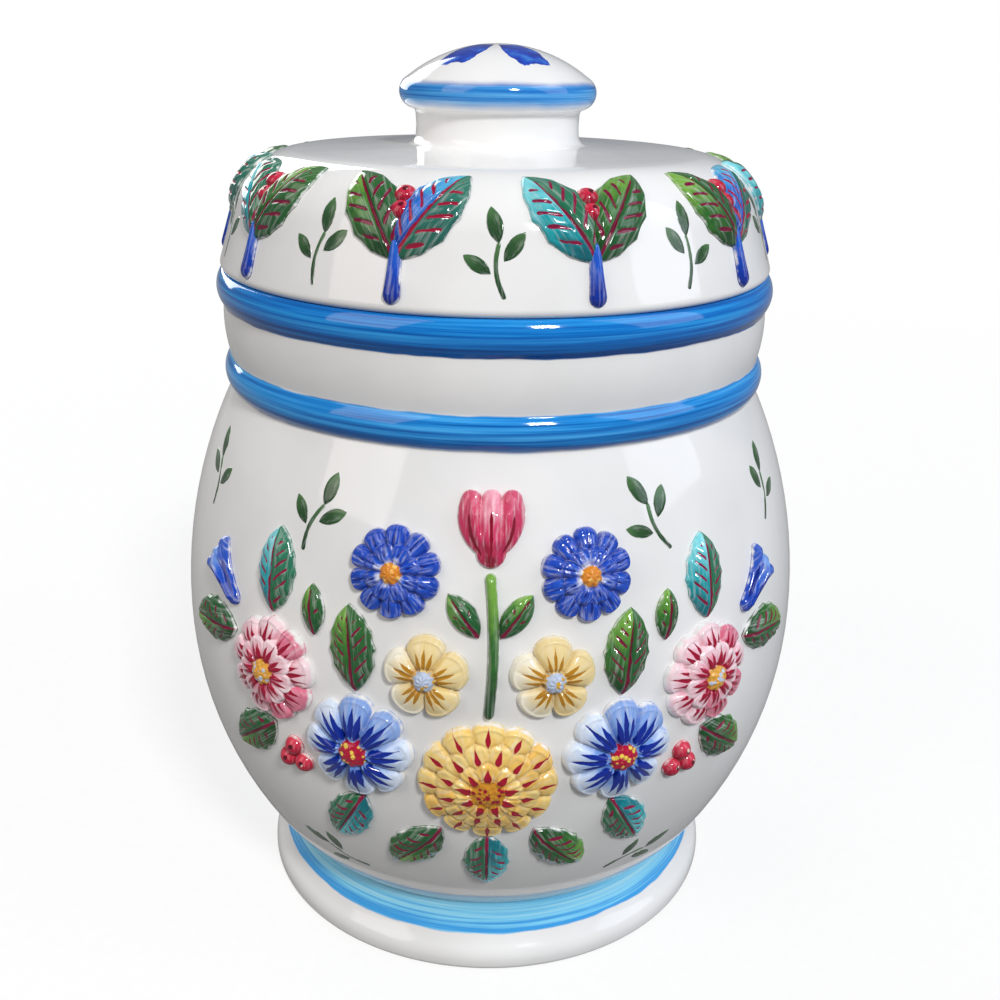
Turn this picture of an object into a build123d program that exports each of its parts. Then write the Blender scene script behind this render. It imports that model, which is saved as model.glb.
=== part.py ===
from build123d import *
from math import asin, atan2, cos, degrees, radians, sin
import os

# Storage jar of glazed earthenware with a loose lid.
# Millimetres, +Z up, origin at the middle of the foot's underside, front towards -Y.

# Foot
FOOT_RADIUS = 76.3
FOOT_EDGE = 5.5
FOOT_ROUND = 1.6
FOOT_RING_WIDTH = 9.0
FOOT_RECESS = 3.0
FOOT_WALL = 8.5

# Waist between foot and belly
WAIST_RADIUS = 69.5
WAIST_HEIGHT = 20.5

# Belly and shoulder
BELLY_BASE_RADIUS = 79.2
BELLY_BASE_HEIGHT = 31.5
BELLY_RADIUS = 98.5
BELLY_HEIGHT = 99.0
SHOULDER_RADIUS = 81.0
SHOULDER_HEIGHT = 171.2

# Painted beads and the collar between them
LOWER_BEAD_WIDTH = 9.5
LOWER_BEAD_SWELL = 2.0
COLLAR_WIDTH = 15.3
COLLAR_SWELL = 0.7
UPPER_BEAD_WIDTH = 9.7
UPPER_BEAD_SWELL = 1.8
RIM_RADIUS = 82.2
RIM_ROUND = 1.2

# Walls of the pot
WALL = 6.0
FLOOR_THICKNESS = 7.0
FLOOR_ROUND = 9.0

# Lid
LID_RADIUS = 83.2
LID_EDGE_ROUND = 2.4
LID_CORNER_RADIUS = 73.0
LID_SIDE_HEIGHT = 32.6
LID_SHOULDER_ROUND = 20.0
LID_CROWN_RISE = 2.4
LID_WALL = 5.5
LID_CLEARANCE = 1.5
LID_COLLAR_DEPTH = 7.0
LID_COLLAR_WALL = 5.0
LID_COLLAR_ROUND = 1.2

# Knob
KNOB_STEM_RADIUS = 24.6
KNOB_STEM_HEIGHT = 9.6
KNOB_CAP_RADIUS = 28.8
KNOB_CAP_EDGE = 9.0
KNOB_CAP_NECK = 26.2
KNOB_DOME_HEIGHT = 9.0
KNOB_WALL = 5.0
VENT_RADIUS = 3.0

# Moulded clay sprigs luted to the walls with slip
SLIP = 0.1
SPRIG_DEPTH = 10.0
LEAF_RELIEF = 3.0
CUP_RELIEF = 4.2
STEM_RELIEF = 2.2
STEM_WIDTH = 2.8
PETAL_EDGE = 1.6
EYE_RISE = 1.2

# The swag of flowers hangs along the belly; places are measured along its girth
SWAG_LOW = 84.0
SWAG_RISE = 42.0
SWAG_REACH = 86.0
SPRIG_GAP = 1.0

DAHLIA_RADIUS = 19.0
DAHLIA_RISE = 5.6
DAHLIA_EYE = 7.0
DAHLIA_PETALS = 12
DAHLIA_NOTCH = 0.88
DAISY_ALONG = 35.6
DAISY_RADIUS = 15.8
DAISY_RISE = 4.8
DAISY_EYE = 4.6
DAISY_PETALS = 8
DAISY_NOTCH = 0.74
ZINNIA_ALONG = 64.0
ZINNIA_RADIUS = 15.2
ZINNIA_RISE = 4.8
ZINNIA_EYE = 4.0
ZINNIA_PETALS = 9
ZINNIA_NOTCH = 0.82
BLOSSOM_ALONG = 16.6
BLOSSOM_ABOVE = 29.5
BLOSSOM_RADIUS = 11.6
BLOSSOM_RISE = 4.0
BLOSSOM_EYE = 3.2
BLOSSOM_PETALS = 5
BLOSSOM_NOTCH = 0.68
CORNFLOWER_ALONG = 26.5
CORNFLOWER_ABOVE = 53.5
CORNFLOWER_RADIUS = 12.4
CORNFLOWER_RISE = 4.0
CORNFLOWER_EYE = 3.0
CORNFLOWER_PETALS = 10
CORNFLOWER_NOTCH = 0.8
BELL_ALONG = 80.2
BELL_TURN = 50.0
BELL_LENGTH = 19.0
BELL_MOUTH = 15.0
TULIP_ABOVE = 60.0
TULIP_LENGTH = 20.0
TULIP_WIDTH = 15.5
TULIP_LEAF_TURN = 36.0
CUP_LOBES = 3
SMALL_LEAF_LENGTH = 14.0
SMALL_LEAF_WIDTH = 7.0
BERRY_ALONG = 57.5
BERRY_BELOW = 21.5
BERRY_RADIUS = 3.0
LEAF_LENGTH = 24.0
LEAF_WIDTH = 13.4

# Turn of each leaf's tip away from upright, beside the flower that it belongs to
UNDER_DAHLIA_TURN = 140.0
UNDER_DAISY_TURN = 150.0
OVER_DAISY_TURN = 8.0
UNDER_ZINNIA_TURN = 126.0
OVER_ZINNIA_TURN = 2.0
BESIDE_BELL_TURN = 95.0

# Sprigs of two leaves with berries and a stalk, set round the lid
LID_SPRIGS = 10
LID_SPRIG_LEAN = 30.0
LID_SPRIG_DROP = 11.0
LID_LEAF_LENGTH = 28.0
LID_LEAF_WIDTH = 15.0
LID_LEAF_SPREAD = 31.0
LID_LEAF_RELIEF = 2.4
LID_STALK_LENGTH = 12.6
LID_STALK_WIDTH = 4.6
LID_BERRY_RADIUS = 2.8
LID_BERRY_RISE = 12.0

# Heights that follow from the sizes above
LOWER_BEAD_TOP = SHOULDER_HEIGHT + LOWER_BEAD_WIDTH
COLLAR_TOP = LOWER_BEAD_TOP + COLLAR_WIDTH
RIM_HEIGHT = COLLAR_TOP + UPPER_BEAD_WIDTH
FLOOR_HEIGHT = FOOT_RECESS + FLOOR_THICKNESS
MOUTH_RADIUS = SHOULDER_RADIUS - WALL
LID_CORNER_HEIGHT = RIM_HEIGHT + LID_SIDE_HEIGHT


def belly_arc(end_radius, end_height):
    """Centre distance and radius of the arc that leaves the belly upright and reaches a point."""
    inset = BELLY_RADIUS - end_radius
    rise = end_height - BELLY_HEIGHT
    radius = (inset**2 + rise**2) / (2 * inset)
    return BELLY_RADIUS - radius, radius


LOWER_CENTRE, LOWER_ARC = belly_arc(BELLY_BASE_RADIUS, BELLY_BASE_HEIGHT)
UPPER_CENTRE, UPPER_ARC = belly_arc(SHOULDER_RADIUS, SHOULDER_HEIGHT)


def belly_point(height, outward):
    """Point beside the belly's skin at a height, with its outward direction, as (radius, height)."""
    centre, radius = (LOWER_CENTRE, LOWER_ARC) if height < BELLY_HEIGHT else (UPPER_CENTRE, UPPER_ARC)
    lean = asin((height - BELLY_HEIGHT) / radius)
    reach = radius + outward
    return (centre + reach * cos(lean), BELLY_HEIGHT + reach * sin(lean)), lean


def skin_plane(turn, point, lean):
    """Plane on a skin: turn is the angle round the jar from the front, lean tips it upwards."""
    out = (cos(lean) * sin(radians(turn)), -cos(lean) * cos(radians(turn)), sin(lean))
    right = (cos(radians(turn)), sin(radians(turn)), 0)
    at = (point[0] * sin(radians(turn)), -point[0] * cos(radians(turn)), point[1])
    return Plane(origin=at, x_dir=right, z_dir=out)


def moved_plane(place, along_x, along_y, turn=0):
    """The same plane with its origin moved within it and its axes turned about its normal."""
    x_dir = place.x_dir * cos(radians(turn)) + place.y_dir * sin(radians(turn))
    return Plane(origin=place.from_local_coords(Vector(along_x, along_y, 0)), x_dir=x_dir, z_dir=place.z_dir)


def belly_plane(along, height, back):
    """Plane on the belly, a distance along its widest girth from the front or back middle."""
    point, lean = belly_point(height, 0)
    turn = degrees(along / BELLY_RADIUS) + (180 if back else 0)
    return skin_plane(turn, point, lean)


def swag_height(along):
    """Height of the swag's middle line at a distance along the girth."""
    return SWAG_LOW + SWAG_RISE * (along / SWAG_REACH) ** 2


# The lid's shoulder is an arc between its leaning side and its crown
LID_SIDE_LEAN = atan2(LID_RADIUS - LID_CORNER_RADIUS, LID_SIDE_HEIGHT)
LID_CROWN_LEAN = atan2(LID_CROWN_RISE, LID_CORNER_RADIUS - KNOB_STEM_RADIUS)
SIDE_OUT = Vector(cos(LID_SIDE_LEAN), sin(LID_SIDE_LEAN))
CROWN_OUT = Vector(sin(LID_CROWN_LEAN), cos(LID_CROWN_LEAN))
LID_CORNER = Vector(LID_CORNER_RADIUS, LID_CORNER_HEIGHT)
SHOULDER_CENTRE = LID_CORNER - (SIDE_OUT + CROWN_OUT) * (LID_SHOULDER_ROUND / (1 + SIDE_OUT.dot(CROWN_OUT)))
KNOB_SEAT_HEIGHT = LID_CORNER_HEIGHT + LID_CROWN_RISE


def lid_shoulder_point(lean, outward):
    """Point beside the lid's shoulder where its skin faces the given lean."""
    return SHOULDER_CENTRE + Vector(cos(lean), sin(lean)) * (LID_SHOULDER_ROUND + outward)


def lid_side_point(height, outward):
    """Point beside the lid's leaning side at a height."""
    top = lid_shoulder_point(LID_SIDE_LEAN, outward)
    return Vector(top.X + (top.Y - height) * sin(LID_SIDE_LEAN) / cos(LID_SIDE_LEAN), height)


def lid_crown_point(radius, outward):
    """Point beside the lid's crown at a radius."""
    top = lid_shoulder_point(radians(90) - LID_CROWN_LEAN, outward)
    return Vector(radius, top.Y + (top.X - radius) * sin(LID_CROWN_LEAN) / cos(LID_CROWN_LEAN))


def finish_node(part, name):
    """Label one piece and write it to its own file."""
    part.label = name
    export_step(part, f"parts/{name}.step")


os.makedirs("parts", exist_ok=True)

# Pot: foot, waist, belly, two beads with a collar between them, rim and hollow inside
with BuildPart() as jar_body:
    with BuildSketch(Plane.XZ):
        with BuildLine():
            Line((0, FOOT_RECESS), (FOOT_RADIUS - FOOT_RING_WIDTH, FOOT_RECESS))
            Line((FOOT_RADIUS - FOOT_RING_WIDTH, FOOT_RECESS), (FOOT_RADIUS - FOOT_RING_WIDTH, 0))
            Line((FOOT_RADIUS - FOOT_RING_WIDTH, 0), (FOOT_RADIUS, 0))
            Line((FOOT_RADIUS, 0), (FOOT_RADIUS, FOOT_EDGE))
            TangentArc((WAIST_RADIUS, WAIST_HEIGHT), (FOOT_RADIUS, FOOT_EDGE), tangent=(0, -1))
            belly_low = TangentArc(
                (BELLY_RADIUS, BELLY_HEIGHT), (BELLY_BASE_RADIUS, BELLY_BASE_HEIGHT), tangent=(0, -1)
            )
            TangentArc(
                (BELLY_BASE_RADIUS, BELLY_BASE_HEIGHT), (WAIST_RADIUS, WAIST_HEIGHT), tangent=belly_low % 1
            )
            TangentArc((BELLY_RADIUS, BELLY_HEIGHT), (SHOULDER_RADIUS, SHOULDER_HEIGHT), tangent=(0, 1))
            ThreePointArc(
                (SHOULDER_RADIUS, SHOULDER_HEIGHT),
                (SHOULDER_RADIUS + LOWER_BEAD_SWELL, SHOULDER_HEIGHT + LOWER_BEAD_WIDTH / 2),
                (SHOULDER_RADIUS, LOWER_BEAD_TOP),
            )
            ThreePointArc(
                (SHOULDER_RADIUS, LOWER_BEAD_TOP),
                ((SHOULDER_RADIUS + RIM_RADIUS) / 2 + COLLAR_SWELL, LOWER_BEAD_TOP + COLLAR_WIDTH / 2),
                (RIM_RADIUS, COLLAR_TOP),
            )
            ThreePointArc(
                (RIM_RADIUS, COLLAR_TOP),
                (RIM_RADIUS + UPPER_BEAD_SWELL, COLLAR_TOP + UPPER_BEAD_WIDTH / 2),
                (RIM_RADIUS, RIM_HEIGHT),
            )
            Line((RIM_RADIUS, RIM_HEIGHT), (MOUTH_RADIUS, RIM_HEIGHT))
            Line((MOUTH_RADIUS, RIM_HEIGHT), (MOUTH_RADIUS, SHOULDER_HEIGHT))
            TangentArc(
                (BELLY_RADIUS - WALL, BELLY_HEIGHT), (MOUTH_RADIUS, SHOULDER_HEIGHT), tangent=(0, 1)
            )
            belly_base_inside, base_lean = belly_point(BELLY_BASE_HEIGHT, -WALL)
            inner_low = TangentArc((BELLY_RADIUS - WALL, BELLY_HEIGHT), belly_base_inside, tangent=(0, -1))
            Line(belly_base_inside, (WAIST_RADIUS - FOOT_WALL, WAIST_HEIGHT))
            Line((WAIST_RADIUS - FOOT_WALL, WAIST_HEIGHT), (WAIST_RADIUS - FOOT_WALL, FLOOR_HEIGHT))
            Line((WAIST_RADIUS - FOOT_WALL, FLOOR_HEIGHT), (0, FLOOR_HEIGHT))
            Line((0, FLOOR_HEIGHT), (0, FOOT_RECESS))
        make_face()
    revolve(axis=Axis.Z)
    floor_edges = jar_body.edges().filter_by_position(Axis.Z, FLOOR_HEIGHT - SLIP, FLOOR_HEIGHT + SLIP)
    fillet(floor_edges, FLOOR_ROUND)
    fillet(jar_body.edges().group_by(Axis.Z)[-1], RIM_ROUND)
    rounds = jar_body.edges().filter_by(GeomType.CIRCLE)
    foot_edges = rounds.filter_by_position(Axis.Z, -SLIP, FOOT_EDGE + SLIP)
    fillet(foot_edges.sort_by(SortBy.RADIUS)[-2:], FOOT_ROUND)
finish_node(jar_body.part, "jar_body")

# Lid: side, rounded shoulder and crown, with a collar that drops inside the pot's mouth
COLLAR_OUTER = MOUTH_RADIUS - LID_CLEARANCE
COLLAR_INNER = COLLAR_OUTER - LID_COLLAR_WALL
INNER_LEDGE = RIM_HEIGHT + LID_WALL
with BuildPart() as lid_shell:
    with BuildSketch(Plane.XZ):
        with BuildLine():
            Polyline(
                (COLLAR_INNER, RIM_HEIGHT - LID_COLLAR_DEPTH),
                (COLLAR_OUTER, RIM_HEIGHT - LID_COLLAR_DEPTH),
                (COLLAR_OUTER, RIM_HEIGHT),
                lid_side_point(RIM_HEIGHT, 0),
                lid_shoulder_point(LID_SIDE_LEAN, 0),
            )
            ThreePointArc(
                lid_shoulder_point(LID_SIDE_LEAN, 0),
                lid_shoulder_point(radians(45), 0),
                lid_shoulder_point(radians(90) - LID_CROWN_LEAN, 0),
            )
            Polyline(
                lid_shoulder_point(radians(90) - LID_CROWN_LEAN, 0),
                (KNOB_STEM_RADIUS, KNOB_SEAT_HEIGHT),
                (VENT_RADIUS, KNOB_SEAT_HEIGHT),
                (VENT_RADIUS, KNOB_SEAT_HEIGHT - LID_WALL),
                lid_crown_point(KNOB_STEM_RADIUS, -LID_WALL),
                lid_shoulder_point(radians(90) - LID_CROWN_LEAN, -LID_WALL),
            )
            ThreePointArc(
                lid_shoulder_point(radians(90) - LID_CROWN_LEAN, -LID_WALL),
                lid_shoulder_point(radians(45), -LID_WALL),
                lid_shoulder_point(LID_SIDE_LEAN, -LID_WALL),
            )
            Polyline(
                lid_shoulder_point(LID_SIDE_LEAN, -LID_WALL),
                lid_side_point(INNER_LEDGE + LID_WALL, -LID_WALL),
                (COLLAR_INNER, INNER_LEDGE),
                (COLLAR_INNER, RIM_HEIGHT - LID_COLLAR_DEPTH),
            )
        make_face()
    revolve(axis=Axis.Z)
    seat_edges = lid_shell.edges().filter_by_position(Axis.Z, RIM_HEIGHT - SLIP, RIM_HEIGHT + SLIP)
    fillet(seat_edges.sort_by(SortBy.RADIUS)[-1], LID_EDGE_ROUND)
    fillet(lid_shell.edges().group_by(Axis.Z)[0], LID_COLLAR_ROUND)
finish_node(lid_shell.part, "lid_shell")

# Knob: hollow mushroom cap on a short stem, luted to the crown
CAP_TOP = KNOB_SEAT_HEIGHT + KNOB_STEM_HEIGHT + KNOB_CAP_EDGE
KNOB_TOP = CAP_TOP + KNOB_DOME_HEIGHT
with BuildPart() as lid_knob:
    with BuildSketch(Plane.XZ):
        with BuildLine():
            Polyline(
                (KNOB_STEM_RADIUS - KNOB_WALL, KNOB_SEAT_HEIGHT),
                (KNOB_STEM_RADIUS, KNOB_SEAT_HEIGHT),
                (KNOB_STEM_RADIUS, KNOB_SEAT_HEIGHT + KNOB_STEM_HEIGHT),
            )
            ThreePointArc(
                (KNOB_STEM_RADIUS, KNOB_SEAT_HEIGHT + KNOB_STEM_HEIGHT),
                (KNOB_CAP_RADIUS, CAP_TOP - KNOB_CAP_EDGE / 2),
                (KNOB_CAP_NECK, CAP_TOP),
            )
            TangentArc((0, KNOB_TOP), (KNOB_CAP_NECK, CAP_TOP), tangent=(1, 0))
            Polyline(
                (0, KNOB_TOP),
                (0, KNOB_TOP - KNOB_WALL),
                (KNOB_STEM_RADIUS - KNOB_WALL, CAP_TOP - KNOB_WALL / 2),
                (KNOB_STEM_RADIUS - KNOB_WALL, KNOB_SEAT_HEIGHT),
            )
        make_face()
    revolve(axis=Axis.Z)
finish_node(lid_knob.part, "lid_knob")


def belly_bed(outward):
    """Solid that fills the belly out to a distance from its skin, for seating the sprigs."""
    low, low_lean = belly_point(BELLY_BASE_HEIGHT, outward)
    high, high_lean = belly_point(SHOULDER_HEIGHT, outward)
    with BuildPart() as bed:
        with BuildSketch(Plane.XZ):
            with BuildLine():
                TangentArc((BELLY_RADIUS + outward, BELLY_HEIGHT), low, tangent=(0, -1))
                TangentArc((BELLY_RADIUS + outward, BELLY_HEIGHT), high, tangent=(0, 1))
                Polyline(high, (0, high[1]), (0, low[1]), low)
            make_face()
        revolve(axis=Axis.Z)
    return bed.part


def lid_bed(outward):
    """Solid that fills the lid out to a distance from its skin."""
    side = lid_side_point(RIM_HEIGHT, outward)
    crown = lid_crown_point(KNOB_STEM_RADIUS, outward)
    with BuildPart() as bed:
        with BuildSketch(Plane.XZ):
            with BuildLine():
                Polyline((0, side.Y), side, lid_shoulder_point(LID_SIDE_LEAN, outward))
                ThreePointArc(
                    lid_shoulder_point(LID_SIDE_LEAN, outward),
                    lid_shoulder_point(radians(45), outward),
                    lid_shoulder_point(radians(90) - LID_CROWN_LEAN, outward),
                )
                Polyline(
                    lid_shoulder_point(radians(90) - LID_CROWN_LEAN, outward),
                    crown,
                    (0, crown.Y),
                    (0, side.Y),
                )
            make_face()
        revolve(axis=Axis.Z)
    return bed.part


BELLY_BED = belly_bed(SLIP)
BELLY_LEAF_SKIN = belly_bed(LEAF_RELIEF)
BELLY_CUP_SKIN = belly_bed(CUP_RELIEF)
BELLY_STEM_SKIN = belly_bed(STEM_RELIEF)
LID_BED = lid_bed(SLIP)
LID_LEAF_SKIN = lid_bed(LID_LEAF_RELIEF)


def polar(radius, angle):
    """Sketch point at a radius and an angle in degrees."""
    return (radius * cos(radians(angle)), radius * sin(radians(angle)))


def dome_radius(reach, rise):
    """Radius of a dome that stands rise above the skin in its middle and PETAL_EDGE at its reach."""
    drop = rise - PETAL_EDGE + reach**2 / (2 * BELLY_RADIUS)
    return (reach**2 + drop**2) / (2 * drop)


def flower(place, petals, radius, notch, rise, eye):
    """Domed flower with round petals and a raised eye, seated on the belly."""
    step = 360 / petals
    dome = dome_radius(radius, rise)
    with BuildPart() as bloom:
        with BuildSketch(place):
            with BuildLine():
                for petal in range(petals):
                    start = 90 + step * (petal - 0.5)
                    ThreePointArc(
                        polar(radius * notch, start),
                        polar(radius, start + step / 2),
                        polar(radius * notch, start + step),
                    )
            make_face()
        extrude(amount=SPRIG_DEPTH, both=True)
        with Locations(place.offset(rise - dome)):
            Sphere(dome, mode=Mode.INTERSECT)
        with Locations(place.offset(rise + EYE_RISE - eye)):
            Sphere(eye)
        add(BELLY_BED, mode=Mode.SUBTRACT)
    return bloom.part


def leaf_on_belly(place, length, width):
    """Pointed leaf that starts at the plane's origin and points along its Y."""
    with BuildPart() as leaf:
        with BuildSketch(place):
            with BuildLine():
                ThreePointArc((0, 0), (width / 2, length * 0.45), (0, length))
                ThreePointArc((0, length), (-width / 2, length * 0.45), (0, 0))
            make_face()
        extrude(amount=SPRIG_DEPTH, both=True)
        add(BELLY_LEAF_SKIN, mode=Mode.INTERSECT)
        add(BELLY_BED, mode=Mode.SUBTRACT)
    return leaf.part


def stem_on_belly(place, length, bow):
    """Thin stem that starts at the plane's origin and runs along its Y, bowed to one side."""
    with BuildPart() as stem:
        with BuildSketch(place):
            with BuildLine(mode=Mode.PRIVATE) as run:
                ThreePointArc((0, 0), (bow, length / 2), (0, length))
            SlotArc(run.edge(), STEM_WIDTH)
        extrude(amount=SPRIG_DEPTH, both=True)
        add(BELLY_STEM_SKIN, mode=Mode.INTERSECT)
        add(BELLY_BED, mode=Mode.SUBTRACT)
    return stem.part


def cup_flower(place, length, width, foot, waist, lobes):
    """Cup or bell seen from the side: round foot at the plane's origin and a lobed mouth along its Y."""
    shoulder = length - 0.4 * width / lobes
    with BuildPart() as cup:
        with BuildSketch(place):
            with BuildLine():
                ThreePointArc((-foot, foot), (0, 0), (foot, foot))
                ThreePointArc((foot, foot), (waist, length / 2), (width / 2, shoulder))
                for lobe in range(lobes):
                    right = width / 2 - width * lobe / lobes
                    left = right - width / lobes
                    ThreePointArc((right, shoulder), ((right + left) / 2, length), (left, shoulder))
                ThreePointArc((-width / 2, shoulder), (-waist, length / 2), (-foot, foot))
            make_face()
        extrude(amount=SPRIG_DEPTH, both=True)
        add(BELLY_CUP_SKIN, mode=Mode.INTERSECT)
        add(BELLY_BED, mode=Mode.SUBTRACT)
    return cup.part


def berry_bunch(place):
    """Three round berries set close together."""
    with BuildPart() as bunch:
        for angle in (90, 210, 330):
            with Locations(moved_plane(place, *polar(BERRY_RADIUS * 1.1, angle))):
                Sphere(BERRY_RADIUS)
        add(BELLY_BED, mode=Mode.SUBTRACT)
    return bunch.part


def lid_sprig(turn):
    """Two leaves and two berries on a stalk that stands on the lid's edge."""
    lean = radians(LID_SPRIG_LEAN)
    point = lid_shoulder_point(lean, 0)
    place = skin_plane(turn, (point.X, point.Y), lean)
    root = moved_plane(place, 0, -LID_SPRIG_DROP)
    with BuildPart() as sprig:
        for spread in (-LID_LEAF_SPREAD, LID_LEAF_SPREAD):
            with BuildSketch(moved_plane(root, 0, 0, spread)):
                with BuildLine():
                    ThreePointArc((0, 0), (LID_LEAF_WIDTH / 2, LID_LEAF_LENGTH * 0.55), (0, LID_LEAF_LENGTH))
                    ThreePointArc((0, LID_LEAF_LENGTH), (-LID_LEAF_WIDTH / 2, LID_LEAF_LENGTH * 0.55), (0, 0))
                make_face()
        with BuildSketch(root):
            with Locations((0, -LID_STALK_LENGTH / 2 + LID_STALK_WIDTH / 2)):
                Rectangle(LID_STALK_WIDTH, LID_STALK_LENGTH)
            with Locations((0, LID_BERRY_RISE), (0, LID_BERRY_RISE + LID_BERRY_RADIUS * 1.6)):
                Circle(LID_BERRY_RADIUS)
        extrude(amount=SPRIG_DEPTH, both=True)
        add(LID_LEAF_SKIN, mode=Mode.INTERSECT)
        add(LID_BED, mode=Mode.SUBTRACT)
    return sprig.part


def swag_plane(along, above, side, back, turn=0):
    """Plane on the belly beside the swag's line; turn leans its Y away from the middle."""
    place = belly_plane(side * along, swag_height(along) + above, back)
    return moved_plane(place, 0, 0, -side * turn)


def swag_leaves(side, back):
    """Leaves that fill the swag on one side of its middle, as separate solids."""
    under_dahlia = swag_plane(DAHLIA_RADIUS * 0.7, -DAHLIA_RADIUS, side, back, UNDER_DAHLIA_TURN)
    under_daisy = swag_plane(
        DAISY_ALONG, -DAISY_RADIUS - SPRIG_GAP, side, back, UNDER_DAISY_TURN
    )
    over_daisy = swag_plane(DAISY_ALONG, DAISY_RADIUS + SPRIG_GAP, side, back, OVER_DAISY_TURN)
    under_zinnia = swag_plane(
        ZINNIA_ALONG, -ZINNIA_RADIUS - 2 * SPRIG_GAP, side, back, UNDER_ZINNIA_TURN
    )
    over_zinnia = swag_plane(ZINNIA_ALONG, ZINNIA_RADIUS + SPRIG_GAP, side, back, OVER_ZINNIA_TURN)
    past_zinnia = ZINNIA_ALONG + ZINNIA_RADIUS + SPRIG_GAP
    beside_bell = swag_plane(past_zinnia, -BELL_LENGTH * 0.4, side, back, BESIDE_BELL_TURN)
    between = (DAISY_ALONG + DAISY_RADIUS + ZINNIA_ALONG - ZINNIA_RADIUS) / 2
    filler = swag_plane(
        between - SPRIG_GAP, ZINNIA_RADIUS + 8 * SPRIG_GAP, side, back, OVER_DAISY_TURN
    )
    places = (under_dahlia, under_daisy, over_daisy, under_zinnia, over_zinnia, beside_bell)
    leaves = [leaf_on_belly(place, LEAF_LENGTH, LEAF_WIDTH) for place in places]
    return Compound(children=leaves + [leaf_on_belly(filler, SMALL_LEAF_LENGTH, SMALL_LEAF_WIDTH)])


def swag_tulip(back):
    """Upright tulip over the middle of the swag, on its stem with two small leaves."""
    foot = TULIP_ABOVE - STEM_WIDTH / 2 - SPRIG_GAP
    stem_foot = DAHLIA_RADIUS + STEM_WIDTH / 2 + SPRIG_GAP
    bloom = cup_flower(
        swag_plane(0, TULIP_ABOVE, 1, back),
        TULIP_LENGTH, TULIP_WIDTH, TULIP_WIDTH / 4, TULIP_WIDTH * 0.52, CUP_LOBES,
    )
    stem = stem_on_belly(swag_plane(0, stem_foot, 1, back), foot - stem_foot, SPRIG_GAP)
    leaves = [
        leaf_on_belly(
            swag_plane(STEM_WIDTH, (foot + stem_foot) / 2 + STEM_WIDTH, side, back, TULIP_LEAF_TURN),
            SMALL_LEAF_LENGTH,
            SMALL_LEAF_WIDTH,
        )
        for side in (-1, 1)
    ]
    return Compound(children=[bloom, stem] + leaves)


# Swags on the front and the back of the belly
for back in (False, True):
    face = "back" if back else "front"
    dahlia = flower(
        swag_plane(0, 0, 1, back),
        DAHLIA_PETALS, DAHLIA_RADIUS, DAHLIA_NOTCH, DAHLIA_RISE, DAHLIA_EYE,
    )
    finish_node(dahlia, f"dahlia_{face}")
    finish_node(swag_tulip(back), f"tulip_{face}")
    finish_node(
        leaf_on_belly(swag_plane(0, -DAHLIA_RADIUS - SPRIG_GAP, 1, back, 180), LEAF_LENGTH, LEAF_WIDTH),
        f"low_leaf_{face}",
    )
    for side in (-1, 1):
        hand = "left" if side < 0 else "right"
        where = f"{face}_{hand}"
        daisy = flower(
            swag_plane(DAISY_ALONG, 0, side, back),
            DAISY_PETALS, DAISY_RADIUS, DAISY_NOTCH, DAISY_RISE, DAISY_EYE,
        )
        finish_node(daisy, f"daisy_{where}")
        zinnia = flower(
            swag_plane(ZINNIA_ALONG, 0, side, back),
            ZINNIA_PETALS, ZINNIA_RADIUS, ZINNIA_NOTCH, ZINNIA_RISE, ZINNIA_EYE,
        )
        finish_node(zinnia, f"zinnia_{where}")
        blossom = flower(
            swag_plane(BLOSSOM_ALONG, BLOSSOM_ABOVE, side, back),
            BLOSSOM_PETALS, BLOSSOM_RADIUS, BLOSSOM_NOTCH, BLOSSOM_RISE, BLOSSOM_EYE,
        )
        finish_node(blossom, f"blossom_{where}")
        cornflower = flower(
            swag_plane(CORNFLOWER_ALONG, CORNFLOWER_ABOVE, side, back),
            CORNFLOWER_PETALS, CORNFLOWER_RADIUS, CORNFLOWER_NOTCH, CORNFLOWER_RISE, CORNFLOWER_EYE,
        )
        finish_node(cornflower, f"cornflower_{where}")
        bell = cup_flower(
            swag_plane(BELL_ALONG, 0, side, back, BELL_TURN),
            BELL_LENGTH, BELL_MOUTH, BELL_MOUTH / 6, BELL_MOUTH / 4, CUP_LOBES,
        )
        finish_node(bell, f"bell_{where}")
        finish_node(berry_bunch(swag_plane(BERRY_ALONG, -BERRY_BELOW, side, back)), f"berries_{where}")
        finish_node(swag_leaves(side, back), f"leaves_{where}")

# Sprigs round the lid, the first half a step to the right of the front
for index in range(LID_SPRIGS):
    finish_node(lid_sprig((index + 0.5) * 360 / LID_SPRIGS), f"lid_sprig_{index + 1:02d}")
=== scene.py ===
"""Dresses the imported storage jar: glazed earthenware pot, lid and knob with painted clay sprigs."""

import logging
from abc import ABC, abstractmethod
from dataclasses import KW_ONLY, dataclass, field, fields
from enum import Enum
from functools import cache, partial
from math import asin, atan2, cos, pi, radians, sin, tan
from typing import Any, Callable, Sequence

import bpy
import numpy as np
from mathutils import Matrix, Vector


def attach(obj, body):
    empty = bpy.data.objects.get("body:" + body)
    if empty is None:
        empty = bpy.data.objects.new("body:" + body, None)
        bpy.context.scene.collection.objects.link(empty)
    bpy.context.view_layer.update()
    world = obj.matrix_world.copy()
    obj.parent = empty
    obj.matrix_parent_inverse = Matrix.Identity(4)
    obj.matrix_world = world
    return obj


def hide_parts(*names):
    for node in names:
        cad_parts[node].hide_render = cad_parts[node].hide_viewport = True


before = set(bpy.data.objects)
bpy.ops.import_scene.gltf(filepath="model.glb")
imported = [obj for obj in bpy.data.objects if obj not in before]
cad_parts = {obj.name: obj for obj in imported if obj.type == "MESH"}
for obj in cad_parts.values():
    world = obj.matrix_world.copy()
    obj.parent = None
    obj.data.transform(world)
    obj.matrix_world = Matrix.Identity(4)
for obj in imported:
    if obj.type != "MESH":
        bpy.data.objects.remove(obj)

log = logging.getLogger("storage_jar")

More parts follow.
